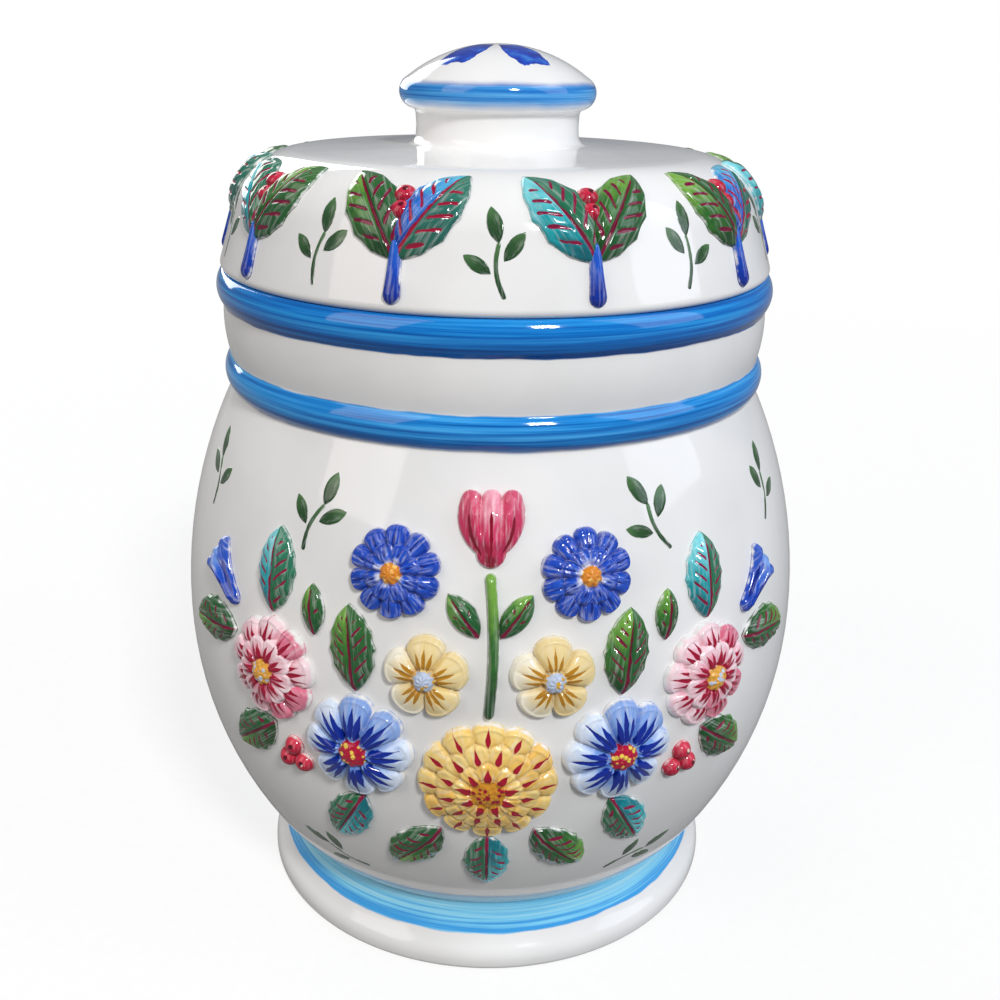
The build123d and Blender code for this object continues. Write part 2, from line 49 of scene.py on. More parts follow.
Array = np.ndarray
Face = tuple[int, ...]
Point = tuple[float, float]
Spot = tuple[float, float, float]

MM = 0.001
UP, DOWN = (0.0, 1.0), (0.0, -1.0)
WHITE = (1.0, 1.0, 1.0, 1.0)
# Distances in mm that stand for a mark that isn't painted, and for an edge that is out of reach
UNPAINTED, FAR = -9.0, 9.0


def linear(code: str) -> tuple[float, float, float, float]:
    """Turn an sRGB hex colour into linear light.

    Args:
        code: Six hex digits after a hash sign.

    Returns:
        Linear red, green, blue and an alpha of one.
    """
    parts = [int(code[place : place + 2], 16) / 255 for place in (1, 3, 5)]
    light = [part / 12.92 if part <= 0.04045 else ((part + 0.055) / 1.055) ** 2.4 for part in parts]
    return (light[0], light[1], light[2], 1.0)


def smooth(low: float, high: float, value: Array) -> Array:
    """Ease from 0 to 1 as a value goes from low to high.

    Args:
        low: Value at which the step starts.
        high: Value at which the step ends.
        value: Values to ease.

    Returns:
        Shares between 0 and 1.
    """
    share = np.clip((value - low) / (high - low), 0, 1)
    return share * share * (3 - 2 * share)


def ridge(distance: Array, width: float) -> Array:
    """Soft ridge of height one, down to about a third at its width on both sides."""
    return np.exp(-((distance / width) ** 2))


def rounded(edge: Array, width: float, drop: float = 0.92) -> Array:
    """Quarter round that rises to one along an edge.

    Args:
        edge: Distances from the edge.
        width: Distance at which the rounding ends.
        drop: Square of the share that is missing right at the edge.

    Returns:
        Heights up to 1.
    """
    return np.sqrt(1 - (1 - np.clip(edge / width, 0, 1)) ** 2 * drop)


def tangent_arc(start: Point, leaving: Point, end: Point, count: int = 24) -> list[Point]:
    """Arc that leaves one point in a given direction and reaches another.

    Args:
        start: First point, left out of the result.
        leaving: Direction at the first point.
        end: Last point, kept in the result.
        count: Number of points.

    Returns:
        Points along the arc.
    """
    first, last = np.array(start, float), np.array(end, float)
    ahead = np.array(leaving, float) / np.hypot(*leaving)
    aside = np.array([-ahead[1], ahead[0]])
    chord = last - first
    reach = chord @ chord / (2 * (chord @ aside))
    centre = first + aside * reach
    sweep = 2 * atan2(float(chord @ aside), float(chord @ ahead))
    turns = sweep * np.arange(1, count + 1) / count
    (x, y), sines, cosines = first - centre, np.sin(turns), np.cos(turns)
    arc = np.column_stack([x * cosines - y * sines, x * sines + y * cosines]) + centre
    return [(float(point[0]), float(point[1])) for point in arc]


def arc_through(start: Point, middle: Point, end: Point, count: int = 24) -> list[Point]:
    """Arc through three points.

    Args:
        start: First point, left out of the result.
        middle: Point that the arc passes.
        end: Last point, kept in the result.
        count: Number of points.

    Returns:
        Points along the arc.
    """
    first, way, last = (np.array(point, float) for point in (start, middle, end))
    square = np.array([way - first, last - first]) * 2
    level = np.array([way @ way - first @ first, last @ last - first @ first])
    spoke = first - np.linalg.solve(square, level)
    ahead = np.array([-spoke[1], spoke[0]])
    if ahead @ (way - first) < 0:
        ahead = -ahead
    return tangent_arc(start, (ahead[0], ahead[1]), end, count)


def soften(path: Sequence[Point], step: float, spread: float) -> Array:
    """Walk a profile in even steps and round its corners as fired glaze does.

    Args:
        path: Profile points in mm.
        step: Length of a step in mm.
        spread: Half width of the rounding in mm.

    Returns:
        Rounded points, close together.
    """
    points = np.array(path, float)
    lengths = np.concatenate([[0], np.cumsum(np.hypot(*np.diff(points, axis=0).T))])
    places = np.linspace(0, lengths[-1], int(lengths[-1] / step))
    walk = np.column_stack([np.interp(places, lengths, points[:, axis]) for axis in (0, 1)])
    reach = int(3 * spread / step)
    weights = ridge(np.arange(-reach, reach + 1) * step, spread)
    weights /= weights.sum()
    ahead = 2 * walk[0] - walk[reach:0:-1]
    behind = 2 * walk[-1] - walk[-2 : -reach - 2 : -1]
    padded = np.vstack([ahead, walk, behind])
    return np.column_stack([np.convolve(padded[:, axis], weights, "valid") for axis in (0, 1)])


def thin_out(points: Array, turn: float, length: float) -> Array:
    """Keep only the profile points that its bends need.

    Args:
        points: Points close together.
        turn: Bend in radians after which a point is kept.
        length: Distance in mm after which a point is kept.

    Returns:
        Fewer points with the same ends.
    """
    kept, bent, gone = [0], 0.0, 0.0
    for place in range(1, len(points) - 1):
        before, after = points[place] - points[place - 1], points[place + 1] - points[place]
        bent += abs(atan2(before[0] * after[1] - before[1] * after[0], before @ after))
        gone += float(np.hypot(*before))
        if bent > turn or gone > length:
            kept.append(place)
            bent, gone = 0.0, 0.0
    return points[kept + [len(points) - 1]]


def distance_to(path: Array, x: Array, y: Array) -> Array:
    """Distance from points to a path.

    Args:
        path: Corners of the path in order.
        x: First coordinates of the points.
        y: Second coordinates of the points.

    Returns:
        One distance for each point.
    """
    start, side = path[:-1], np.diff(path, axis=0)
    square = np.maximum((side**2).sum(1), 1e-9)
    to_x, to_y = x[:, None] - start[:, 0], y[:, None] - start[:, 1]
    share = np.clip((to_x * side[:, 0] + to_y * side[:, 1]) / square, 0, 1)
    return np.hypot(to_x - share * side[:, 0], to_y - share * side[:, 1]).min(1)


def ring_faces(rows: int, count: int, looped: bool = False) -> list[Face]:
    """Faces over a stack of rings of points, with a point before the first and after the last.

    Args:
        rows: Number of rings.
        count: Number of points in a ring.
        looped: The last ring joins the first, and there is no point before or after them.

    Returns:
        Corner numbers of each face.
    """
    faces: list[Face] = []
    first = 0 if looped else 1
    last = first + (rows - 1) * count
    for here in range(count):
        there = (here + 1) % count
        for row in range(rows if looped else rows - 1):
            low, high = first + row * count, first + (row + 1) % rows * count
            faces.append((low + here, high + here, high + there, low + there))
        if not looped:
            faces += [(0, 1 + here, 1 + there), (last + here, last + count, last + there)]
    return faces


def facing_out(points: Array, faces: list[Face]) -> list[Face]:
    """Turn the faces of a closed mesh so that they look outwards.

    Args:
        points: Points of the mesh.
        faces: Corner numbers of each face, all turned one way.

    Returns:
        The faces, reversed if they enclosed a negative volume.
    """
    fans = [
        (face[0], *face[place : place + 2]) for face in faces for place in range(1, len(face) - 1)
    ]
    first, second, third = points[np.array(fans).T]
    volume = np.einsum("ij,ij->", first, np.cross(second, third))
    return [face[::-1] for face in faces] if volume < 0 else faces


def add_node(
    tree: bpy.types.NodeTree,
    kind: str,
    *feeds: Any,
    stops: Sequence[tuple[float, str]] = (),
    **more: Any,
) -> bpy.types.Node:
    """Add a shader node, with its sockets set to values or linked to other nodes.

    Args:
        tree: Node tree to add to.
        kind: Blender's name for the kind of node, after the word ShaderNode.
        feeds: What the sockets in use get, in order: a value, a hex colour, a node or a socket.
        stops: Places and hex colours of a colour ramp.
        more: The node's own choices, and what further sockets get, by name.

    Returns:
        The new node.
    """
    node = tree.nodes.new(f"ShaderNode{kind}")
    named = {name: more.pop(name) for name in list(more) if name in node.inputs}
    for name, choice in more.items():
        setattr(node, name, choice)
    sockets = [socket for socket in node.inputs if socket.enabled]
    pairs = [*zip(sockets, feeds), *((node.inputs[name], feed) for name, feed in named.items())]
    for socket, source in pairs:
        if isinstance(source, bpy.types.Node):
            source = next(output for output in source.outputs if output.enabled)
        if isinstance(source, bpy.types.NodeSocket):
            tree.links.new(source, socket)
        else:
            socket.default_value = linear(source) if isinstance(source, str) else source
    if stops:
        ramp = node.color_ramp
        while len(ramp.elements) < len(stops):
            ramp.elements.new(1.0)
        for element, (place, code) in zip(ramp.elements, stops):
            element.position, element.color = place, linear(code)
    return node


class Finish(ABC):
    """Surface of a piece, built as a procedural material when it is first asked for."""

    name: str

    @cache
    def material(self) -> bpy.types.Material:
        """Make the material.

        Returns:
            The finished material, the same one each time.
        """
        made = bpy.data.materials.new(self.name)
        made.use_nodes = True
        made.node_tree.nodes.clear()
        node = partial(add_node, made.node_tree)
        node("OutputMaterial", self.shader(node, node("TexCoord").outputs["Object"]))
        return made

    @abstractmethod
    def shader(self, node: Callable, coords: Any) -> bpy.types.Node:
        """Shader of the surface.

        Args:
            node: Adds a node to the material.
            coords: Socket with the object's coordinates in metres.

        Returns:
            Last node of the shader.
        """


@dataclass(frozen=True, kw_only=True)
class Glaze(Finish):
    """Painted body under smooth clear glass, faintly uneven as it flowed in the kiln, in mm."""

    ground: str = "#F3F2F0"
    roughness: float = 0.1
    ripple: float = 0.05
    flow: float = 9.0

    def shader(self, node: Callable, coords: Any) -> bpy.types.Node:
        """Glass over the painted colour.

        Args:
            node: Adds a node to the material.
            coords: Socket with the object's coordinates in metres.

        Returns:
            Last node of the shader.
        """
        flow = node("TexNoise", coords, 1 / (self.flow * MM), 1.0, 0.4)
        bump = node("Bump", 1.0, self.ripple * MM, Height=flow)
        colour = self.colour(node, coords)
        return node("BsdfPrincipled", colour, Roughness=self.roughness, IOR=1.5, Normal=bump)

    @abstractmethod
    def colour(self, node: Callable, coords: Any) -> bpy.types.Node:
        """Painted colour beneath the glass.

        Args:
            node: Adds a node to the material.
            coords: Socket with the object's coordinates in metres.

        Returns:
            Node that gives the colour.
        """


@dataclass(frozen=True)
class Band:
    """Brushed band round the jar, between two heights in mm, thin where the brush lifts."""

    low: float
    high: float
    light: str = "#2C9CE4"
    middle: str = "#0474CA"
    deep: str = "#014C98"
    fade: float = 0.25
    lift: float = 0.25
    # Share of the band darkened from one edge by pooled glaze and painted shade, then how much darker
    pool: float = 0.45
    ragged: float = 0.25
    pool_and_shade_depth: float = 0.25


@dataclass(frozen=True)
class WhiteGlaze(Glaze):
    """Earthenware under a warm white tin glaze, with bands brushed on while the jar turned, in mm.

    The ground gives a soft milky white, the bands show fine level streaks and ragged edges.
    """

    name: str
    bands: tuple[Band, ...] = ()
    rosette: float = 0.0
    _: KW_ONLY
    roughness: float = 0.07
    shade: str = "#EAE9E7"
    patch: float = 45.0
    iron: str = "#8C7A68"
    specks_apart: float = 30.0
    cobalt: tuple[str, str, str] = ("#08248A", "#1646BE", "#3C86DC")
    bristle: Point = (70.0, 1.0)
    drift: float = 16.0
    wander: float = 0.9
    petals: int = 5
    turned: float = -0.1
    heart: float = 5.0

    def colour(self, node: Callable, coords: Any) -> bpy.types.Node:
        """White ground with its bands and petals.

        Args:
            node: Adds a node to the material.
            coords: Socket with the object's coordinates in metres.

        Returns:
            Node that gives the colour.
        """
        # Thick and thin glaze in patches, and iron specks of 0.3 mm
        cloud = node("TexNoise", coords, 1 / (self.patch * MM), 3.0)
        ground = node("ValToRGB", cloud, stops=[(0.35, self.shade), (0.6, self.ground)])
        specks = node("TexVoronoi", coords, 1 / (self.specks_apart * MM))
        speck = node("MapRange", specks, 0.005, 0.011, 0.7, 0.0)
        colour = node("Mix", speck, ground, self.iron, data_type="RGBA")
        if self.bands:
            colour = self._brush_bands(node, coords, colour)
        if self.rosette:
            colour = self._brush_rosette(node, coords, colour)
        return colour

    def _brush_bands(self, node: Callable, coords: Any, colour: bpy.types.Node) -> bpy.types.Node:
        """Lay the blue bands over the ground.

        Args:
            node: Adds a node to the material.
            coords: Socket with the object's coordinates in metres.
            colour: Colour beneath the bands.

        Returns:
            Node that gives the colour.
        """
        # Bristle marks a hand long and 1 mm high, on slower drifts of the brush
        long, high = (1 / (size * MM) for size in self.bristle)
        combed = node("Mapping", coords, Scale=(long, long, high))
        bristles = node("TexNoise", combed, 1.0, 3.0, 0.6)
        drift = node("TexNoise", coords, 1 / (self.drift * MM), 2.0)
        wander = node("MapRange", drift, 0.0, 1.0, -self.wander * MM, self.wander * MM)
        at = node("Math", node("SeparateXYZ", coords).outputs["Z"], wander, operation="ADD")
        outside = node("Attribute", attribute_name="outside").outputs["Fac"]
        eased = {"interpolation_type": "SMOOTHSTEP"}
        for band in self.bands:
            low, high = (band.low - band.ragged) * MM, (band.high + band.ragged) * MM
            rise = node("MapRange", at, low, (band.low + band.fade) * MM, **eased)
            fall = node("MapRange", at, (band.high - band.lift) * MM, high, 1.0, 0.0, **eased)
            inside = node("Math", rise, fall, operation="MULTIPLY")
            cover = node("Math", inside, outside, operation="MULTIPLY")
            # Colour darkens along the lower edge, or the upper one if the share is negative: pooled
            # glaze, and on the jar also painted shade in the crease there
            edge = band.low if band.pool > 0 else band.high
            ends = (edge * MM, (edge + band.pool * (band.high - band.low)) * MM)
            pool = node("MapRange", at, *ends, band.pool_and_shade_depth, 0.0)
            tone = node("Math", bristles, pool, operation="SUBTRACT")
            shades = [(0.28, band.deep), (0.47, band.middle), (0.66, band.light)]
            blue = node("ValToRGB", tone, stops=shades)
            colour = node("Mix", cover, colour, blue, data_type="RGBA")
        return colour

    def _brush_rosette(self, node: Callable, coords: Any, colour: bpy.types.Node) -> bpy.types.Node:
        """Paint a ring of cobalt petals on the crown of the knob.

        Args:
            node: Adds a node to the material.
            coords: Socket with the object's coordinates in metres.
            colour: Colour beneath the petals.

        Returns:
            Node that gives the colour.
        """
        parts = node("SeparateXYZ", coords).outputs
        # The petals are turned so that none of them points straight to the front
        angle = node("Math", parts["X"], parts["Y"], operation="ARCTAN2")
        turned = node("Math", angle, self.turned, operation="ADD")
        lobes = node("Math", turned, self.petals / 2, operation="MULTIPLY")
        swell = node("Math", node("Math", lobes, operation="COSINE"), operation="ABSOLUTE")
        flat = node("VectorMath", coords, (1.0, 1.0, 0.0), operation="MULTIPLY")
        radius = node("VectorMath", flat, operation="LENGTH")
        rough = node("TexNoise", coords, 1 / (6 * MM), 4.0)
        # A petal runs from the heart out to the rosette's reach, with a ragged edge
        reach = node("MapRange", swell, 0.18, 0.85, self.heart * MM, self.rosette * MM)
        ragged = node("MapRange", rough, 0.0, 1.0, -5.0 * MM, 5.0 * MM)
        reach = node("Math", reach, ragged, operation="ADD")
        room = node("Math", reach, radius, operation="SUBTRACT")
        outer = node("MapRange", room, -0.2 * MM, 0.2 * MM)
        inner = node("MapRange", radius, (self.heart + 0.2) * MM, (self.heart + 0.8) * MM)
        above = node("Math", parts["Z"], self.bands[0].high * MM, operation="GREATER_THAN")
        petals = node("Math", outer, inner, operation="MULTIPLY")
        cover = node("Math", petals, above, operation="MULTIPLY")
        strokes = node("ValToRGB", rough, stops=list(zip((0.38, 0.55, 0.72), self.cobalt)))
        return node("Mix", cover, colour, strokes, data_type="RGBA")


@dataclass(frozen=True)
class BareClay(Finish):
    """Fired earthenware wiped clean of glaze where it stood in the kiln: cream, matt and sandy."""

    name: str = "bare_earthenware"
    body: str = "#EBE2D0"
    sand: str = "#D6C8AE"
    grain: float = 0.6
    depth: float = 0.1

    def shader(self, node: Callable, coords: Any) -> bpy.types.Node:
        """Dull clay with sand grains, in mm.

        Args:
            node: Adds a node to the material.
            coords: Socket with the object's coordinates in metres.

        Returns:
            Last node of the shader.
        """
        sand = node("TexNoise", coords, 1 / (self.grain * MM), 3.0)
        colour = node("ValToRGB", sand, stops=[(0.3, self.sand), (0.6, self.body)])
        rough = node("Bump", 0.6, self.depth * MM, Height=sand)
        return node("BsdfPrincipled", colour, Roughness=0.85, IOR=1.5, Normal=rough)


@dataclass(frozen=True)
class PaintedClay(Glaze):
    """Moulded clay sprig, painted with slips by hand and fired under the same clear glaze, in mm.

    The slip runs from root to tip in brush strokes, thins out where the brush lifts, and stops
    short of the edge, where the white body shows as a fine line.
    """

    name: str
    root: str
    body: str
    tip: str
    other: str
    stroke: str
    eye: str = "#C4163C"
    eye_dots: str = "#F6CF5A"
    spread: Spot = (0.12, 0.5, 0.92)
    thin: float = 0.4
    rim: float = 0.0
    patch: float = 3.0
    bristle: float = 0.7
    dabs_apart: float = 1.8

    def colour(self, node: Callable, coords: Any) -> bpy.types.Node:
        """Slips, stripes and dabs that follow the marks on the sprig's mesh.

        Args:
            node: Adds a node to the material.
            coords: Socket with the object's coordinates in metres.

        Returns:
            Node that gives the colour.
        """
        marks = {
            name: node("Attribute", attribute_name=name).outputs["Fac"]
            for name in ("run", "across", "edge", "stroke", "eye", "tone")
        }
        patches = node("TexNoise", coords, 1 / (self.patch * MM), 3.0)
        sway = node("MapRange", patches, 0.0, 1.0, -0.3, 0.3)
        jitter = node("MapRange", patches, 0.0, 1.0, -0.45, 0.45)
        # Slip from root to tip, and a second slip on one side
        along = node("Math", marks["run"], sway, operation="ADD")
        slips = list(zip(self.spread, (self.root, self.body, self.tip)))
        slip = node("ValToRGB", along, stops=slips)
        toned = node("Math", marks["tone"], sway, operation="ADD")
        share = node("MapRange", toned, 0.52, 0.72, 0.0, 0.85)
        colour = node("Mix", share, slip, self.other, data_type="RGBA")
        # The ground shows through along the bristle marks, which are as long as the petal
        drawn = node("CombineXYZ", marks["across"], marks["run"], marks["tone"])
        lined = node("Mapping", drawn, Scale=(1 / self.bristle, 2.2, 19.0))
        dry = node("MapRange", node("TexNoise", lined, 1.0, 2.0, 0.6), 0.5, 0.72, 0.0, self.thin)
        colour = node("Mix", dry, colour, self.ground, data_type="RGBA")
        # Stripes, then the eye with its dabs, each with a ragged edge
        dots = node("TexVoronoi", coords, 1 / (self.dabs_apart * MM))
        dabs = node("MapRange", dots, 0.3, 0.42, 1.0, 0.0)
        eye = node("Mix", dabs, self.eye, self.eye_dots, data_type="RGBA")
        for mark, paint in (("stroke", self.stroke), ("eye", eye)):
            ragged = node("Math", marks[mark], jitter, operation="ADD")
            cover = node("MapRange", ragged, -0.07, 0.07)
            colour = node("Mix", cover, colour, paint, data_type="RGBA")
        short = node("Math", marks["edge"], jitter, operation="ADD")
        covered = node("MapRange", short, self.rim - 0.12, self.rim + 0.12)
        return node("Mix", covered, self.ground, colour, data_type="RGBA")


class Slip(Enum):
    """Painted finishes of the sprigs: root, body, tip, second slip and stroke, in this order."""

    GOLDEN = PaintedClay(
        "golden_painted_earthenware", "#A8541A", "#E8AE42", "#F8D884", "#EFBE58", "#A80C2A",
        eye="#D08E26", eye_dots="#A00C26", rim=0.05,
    )
    PERIWINKLE = PaintedClay(
        "periwinkle_painted_earthenware", "#4674CC", "#86AEEA", "#DDE9FA", "#6F9AE2", "#0C2A94",
        eye="#B80E38", eye_dots="#F4D257", rim=0.1,
    )
    PINK = PaintedClay(
        "pink_painted_earthenware", "#B4103C", "#E87E9A", "#FBDCE2", "#DE5C80", "#A00A32",
        eye="#E2A43C", eye_dots="#C8D8F0", rim=0.15,
    )
    CREAM = PaintedClay(
        "cream_painted_earthenware", "#C88A2A", "#F2DEA8", "#FAF3DE", "#EDD28C", "#B8801E",
        eye="#B9C6DC", eye_dots="#D9A832", thin=0.25,
    )
    COBALT = PaintedClay(
        "cobalt_painted_earthenware", "#F4F5F8", "#2A5CCC", "#1240AC", "#1B4ABC", "#0A2684",
        eye="#E08A2A", eye_dots="#F6C66A", spread=(0.3, 0.58, 0.9), thin=0.3,
    )
    COBALT_CUP = PaintedClay(
        "cobalt_bell_earthenware", "#0E36A2", "#1E54C6", "#7FA6E6", "#1848BA", "#0A2684",
    )
    ROSE = PaintedClay(
        "rose_painted_earthenware", "#A80C38", "#DA4670", "#F4A6B8", "#CC305C", "#8C0828",
    )
    CRIMSON = PaintedClay(
        "crimson_painted_earthenware", "#96082A", "#BE1238", "#DA3C54", "#AC0E32", "#5C0A1E",
        eye="#5A081C", eye_dots="#F4D9C8", thin=0.15,
    )
    GREEN = PaintedClay(
        "green_painted_earthenware", "#184A20", "#35722C", "#78AC44", "#1F5A30", "#7A1038",
        thin=0.25,
    )
    TEAL = PaintedClay(
        "teal_painted_earthenware", "#0C6E7A", "#1FA6AE", "#7ED8E0", "#23652C", "#8A1240", thin=0.3,
    )
    BLUE_LEAF = PaintedClay(
        "blue_leaf_earthenware", "#123F9E", "#2470CC", "#5CC0DE", "#26682C", "#A00E38", thin=0.3,
    )
    STALK = PaintedClay(
        "cobalt_stalk_earthenware", "#0A309A", "#164EC0", "#2464CC", "#1244B0", "#0A2684", thin=0.2,
    )
    FLAT_GREEN = PaintedClay(
        "flat_green_brushwork", "#27472A", "#305530", "#4C7446", "#2A4E2E", "#244426", thin=0.2,
    )


@dataclass
class Fields:
    """Height of a sprig over the skin and the marks that its paint follows, all in mm or shares."""

    height: Array
    run: Array
    across: Array
    edge: Array
    stroke: Array
    eye: Array
    tone: Array

    @classmethod
    def blank(cls, count: int) -> "Fields":
        """Level fields with no mark on them."""
        level = {part.name: np.zeros(count) for part in fields(cls)}
        return cls(**level | {name: np.full(count, UNPAINTED) for name in ("stroke", "eye")})


@dataclass(frozen=True, kw_only=True)
class Boss(ABC):
    """Raised form that is pressed in a mould and luted to the jar, drawn in mm."""

    rings: int = 26

    @abstractmethod
    def outline(self) -> Array:
        """Outline in the drawing plane, without its first point again at the end."""

    @abstractmethod
    def fields(self, x: Array, y: Array) -> Fields:
        """Height and marks at points of the drawing plane.

        Args:
            x: First coordinates.
            y: Second coordinates.

        Returns:
            Fields at the points.
        """

    def centre(self) -> Point:
        """Point from which the whole outline is seen."""
        return (0.0, 0.0)

    def edge(self, x: Array, y: Array) -> Array:
        """Distances of points from the closed outline."""
        outline = self.outline()
        return distance_to(np.vstack([outline, outline[:1]]), x, y)


@dataclass(frozen=True)
class PetalRing:
    """Ring of equal petals, in mm; turn is a share of a petal, stripes are shares aside of it."""

    count: int
    reach: float
    notch: float
    lift: float
    edge: float
    turn: float = 0.0
    stripes: tuple[float, ...] = (0.0,)
    stripe_from: float = 0.3
    stripe_to: float = 0.75
    stripe_width: float = 0.45

    def tip(self, aside: Array) -> Array:
        """Reach of the petals where the share aside of the middle is given."""
        return self.reach * (self.notch + (1 - self.notch) * (1 - np.abs(aside) ** 2.4) ** 0.55)

    def split(self, angle: Array) -> tuple[Array, Array]:
        """Number of the petal and the share aside of its middle at an angle from upright.

        Args:
            angle: Angles from upright.

        Returns:
            Numbers and shares, -1 to 1 across a petal.
        """
        place = angle * self.count / (2 * pi) + self.turn
        petal = np.round(place)
        return petal, 2 * (place - petal)

    def stroke(self, run: Array, aside: Array, half: Array) -> Array:
        """Depth inside the painted stripes, which taper to both ends.

        Args:
            run: Shares of the way from the eye to the tip.
            aside: Shares aside of the petal's middle.
            half: Half widths of the petal.

        Returns:
            Distances in mm, above 0 inside a stripe.
        """
        taper = smooth(self.stripe_from - 0.12, self.stripe_from + 0.05, run)
        stroke = np.full(len(run), UNPAINTED)
        for middle in self.stripes:
            end = self.stripe_to - 0.16 * abs(middle)
            width = self.stripe_width * taper * (1 - smooth(end - 0.3, end, run))
            width -= 0.25 * (1 - taper)
            past = 3.0 * np.clip(run - end, 0, 1)
            stroke = np.maximum(stroke, width - past - np.abs(aside - middle) * half)
        return stroke


@dataclass(frozen=True)
class Flower(Boss):
    """Open flower seen from the front: rings of petals round a raised eye."""

    petal_rings: tuple[PetalRing, ...]
    eye: float
    eye_top: float
    _: KW_ONLY
    rings: int = 64
    puff: float = 0.55
    groove: float = 1.0
    groove_width: float = 0.6
    crease: float = 0.3
    crease_width: float = 0.45
    lip: float = 0.3
    lip_inset: float = 0.8
    lip_width: float = 0.5
    uneven: float = 0.5
    edge_round: float = 0.8
    eye_fall: float = 1.3
    dimple: float = 0.2
    seed: int = 1

    def outline(self) -> Array:
        """Outer edge of the lowest petals.

        Returns:
            Corners of the outline, one to a row.
        """
        angle = np.linspace(0, 2 * pi, 240, endpoint=False)
        outer = self.petal_rings[0]
        reach = outer.tip(outer.split(angle)[1])
        return np.column_stack([reach * np.sin(angle), reach * np.cos(angle)])

    def fields(self, x: Array, y: Array) -> Fields:
        """Rings of petals laid over each other, then the eye.

        Args:
            x: First coordinates.
            y: Second coordinates.

        Returns:
            Fields at the points.
        """
        radius, angle = np.hypot(x, y), np.arctan2(x, y)
        made = Fields.blank(len(x))
        chance = np.random.default_rng(self.seed)
        for level, ring in enumerate(self.petal_rings):
            petal, aside = ring.split(angle)
            tones = chance.random(ring.count)[petal.astype(int) % ring.count]
            tip, half = ring.tip(aside), pi / ring.count * radius
            run, tip_gap = np.clip(radius / tip, 0, 1), tip - radius
            across, side_gap = aside * half, (1 - np.abs(aside)) * half
            # Petals fall from lift to edge, puffed between grooves, with a crease and a raised lip
            height = ring.edge + (ring.lift - ring.edge) * (1 - run**2) ** 0.8
            puffed = self.puff * (1 - aside**2) * np.sin(pi * run)
            height += puffed + self.uneven * (tones - 0.5) * run
            height -= self.groove * ridge(side_gap, self.groove_width) * smooth(0.1, 0.35, run)
            height -= self.crease * ridge(across, self.crease_width) * np.sin(pi * run)
            height += self.lip * ridge(tip_gap - self.lip_inset, self.lip_width)
            if level == 0:
                made.height = height * (0.25 + 0.75 * rounded(tip_gap, self.edge_round, 1.0))
            else:
                # An upper petal stands off the lower one, with a sunk line round its tip
                over = np.maximum(height, made.height + 0.15) - made.height
                made.height = made.height + over * smooth(0.0, 0.4, tip_gap)
                made.height -= 0.35 * ridge(tip_gap + 0.25, 0.3)
            edge = np.minimum(tip_gap, side_gap * 1.4 + 0.12)
            stroke = ring.stroke(run, aside, half)
            parts = {"run": run, "across": across, "edge": edge, "stroke": stroke, "tone": tones}
            for name, value in parts.items():
                below = getattr(made, name)
                setattr(made, name, np.where((tip_gap > 0) | (level == 0), value, below))
        made.eye = self.eye - radius
        share = np.clip(radius / self.eye, 0, 1)
        dimples = self.dimple * np.cos(radius * 2.6) * np.cos(7 * angle)
        top = self.eye_top - self.eye_fall * share**2 + dimples * smooth(0, 0.3, share)
        made.height += (top - made.height) * smooth(0.0, 0.5, made.eye)
        made.height -= 0.45 * ridge(made.eye + 0.35, 0.35)
        made.edge = np.where(made.eye > -0.2, FAR, made.edge)
        return made


@dataclass(frozen=True)
class Leaf(Boss):
    """Pointed leaf with a sunk midrib and side veins, from its foot at the origin along +Y."""

    length: float
    width: float
    _: KW_ONLY
    swell: float = 0.45
    relief: float = 3.0
    floor: float = 0.45
    teeth: int = 0
    bite: float = 0.09
    veins: float = 3.2
    vein_width: float = 0.3
    wave: float = 0.2
    halves: bool = True
    seed: int = 1

    def outline(self) -> Array:
        """Two arcs that meet in points, toothed if the leaf has teeth.

        Returns:
            Corners of the outline, one to a row.
        """
        side = (self.width / 2, self.length * self.swell)
        right = np.array(arc_through((0, 0), side, (0, self.length), 70))
        share = np.arange(1, 71) / 70
        right[:, 0] *= 1 - self.bite * np.abs(np.sin(self.teeth * pi * share)) * np.sin(pi * share)
        left = right[::-1] * (-1, 1)
        return np.vstack([right, left[1:], [(0, 0)]])

    def centre(self) -> Point:
        """Middle of the leaf."""
        return (0.0, self.length / 2)

    def fields(self, x: Array, y: Array) -> Fields:
        """Blade that falls to its edge, with veins that lean to the tip.

        Args:
            x: First coordinates.
            y: Second coordinates.

        Returns:
            Fields at the points.
        """
        made = Fields.blank(len(x))
        edge, run = self.edge(x, y), np.clip(y / self.length, 0, 1)
        chance = np.random.default_rng(self.seed).random(2)
        lane = (y - np.abs(x) * 0.95) / max(self.veins, 1.0) + 0.35 * (x > 0)
        off_vein = np.abs(lane - np.round(lane)) * self.veins * 0.72
        blade = smooth(0.7, 1.7, np.abs(x)) * smooth(0.5, 1.5, edge)
        carved = self.relief > 1
        height = self.relief * (self.floor + (1 - self.floor) * smooth(0, 3.4, edge))
        height -= 0.8 * ridge(x, 0.5) * smooth(0.02, 0.15, run) * smooth(1.0, 0.8, run) * carved
        height -= 0.35 * ridge(off_vein, 0.4) * blade * carved
        height += self.wave * np.sin(5 * run + 6 * chance[0]) * smooth(0, 2, edge)
        made.height = np.minimum(height, self.relief) * rounded(edge, 0.7)
        made.run, made.across, made.edge = run, x, edge
        midrib = 0.5 * (1 - 0.6 * run) - np.abs(x) - 6 * np.clip(run - 0.86, 0, 1)
        side = self.vein_width * blade - off_vein - 0.3 * (1 - blade)
        side -= 0.6 * np.clip(1.5 - edge, 0, 2)
        if self.veins > 0:
            made.stroke = np.maximum(midrib, side)
        made.tone = np.where((x > 0) & self.halves, 0.9, 0.2 + 0.2 * chance[1])
        return made


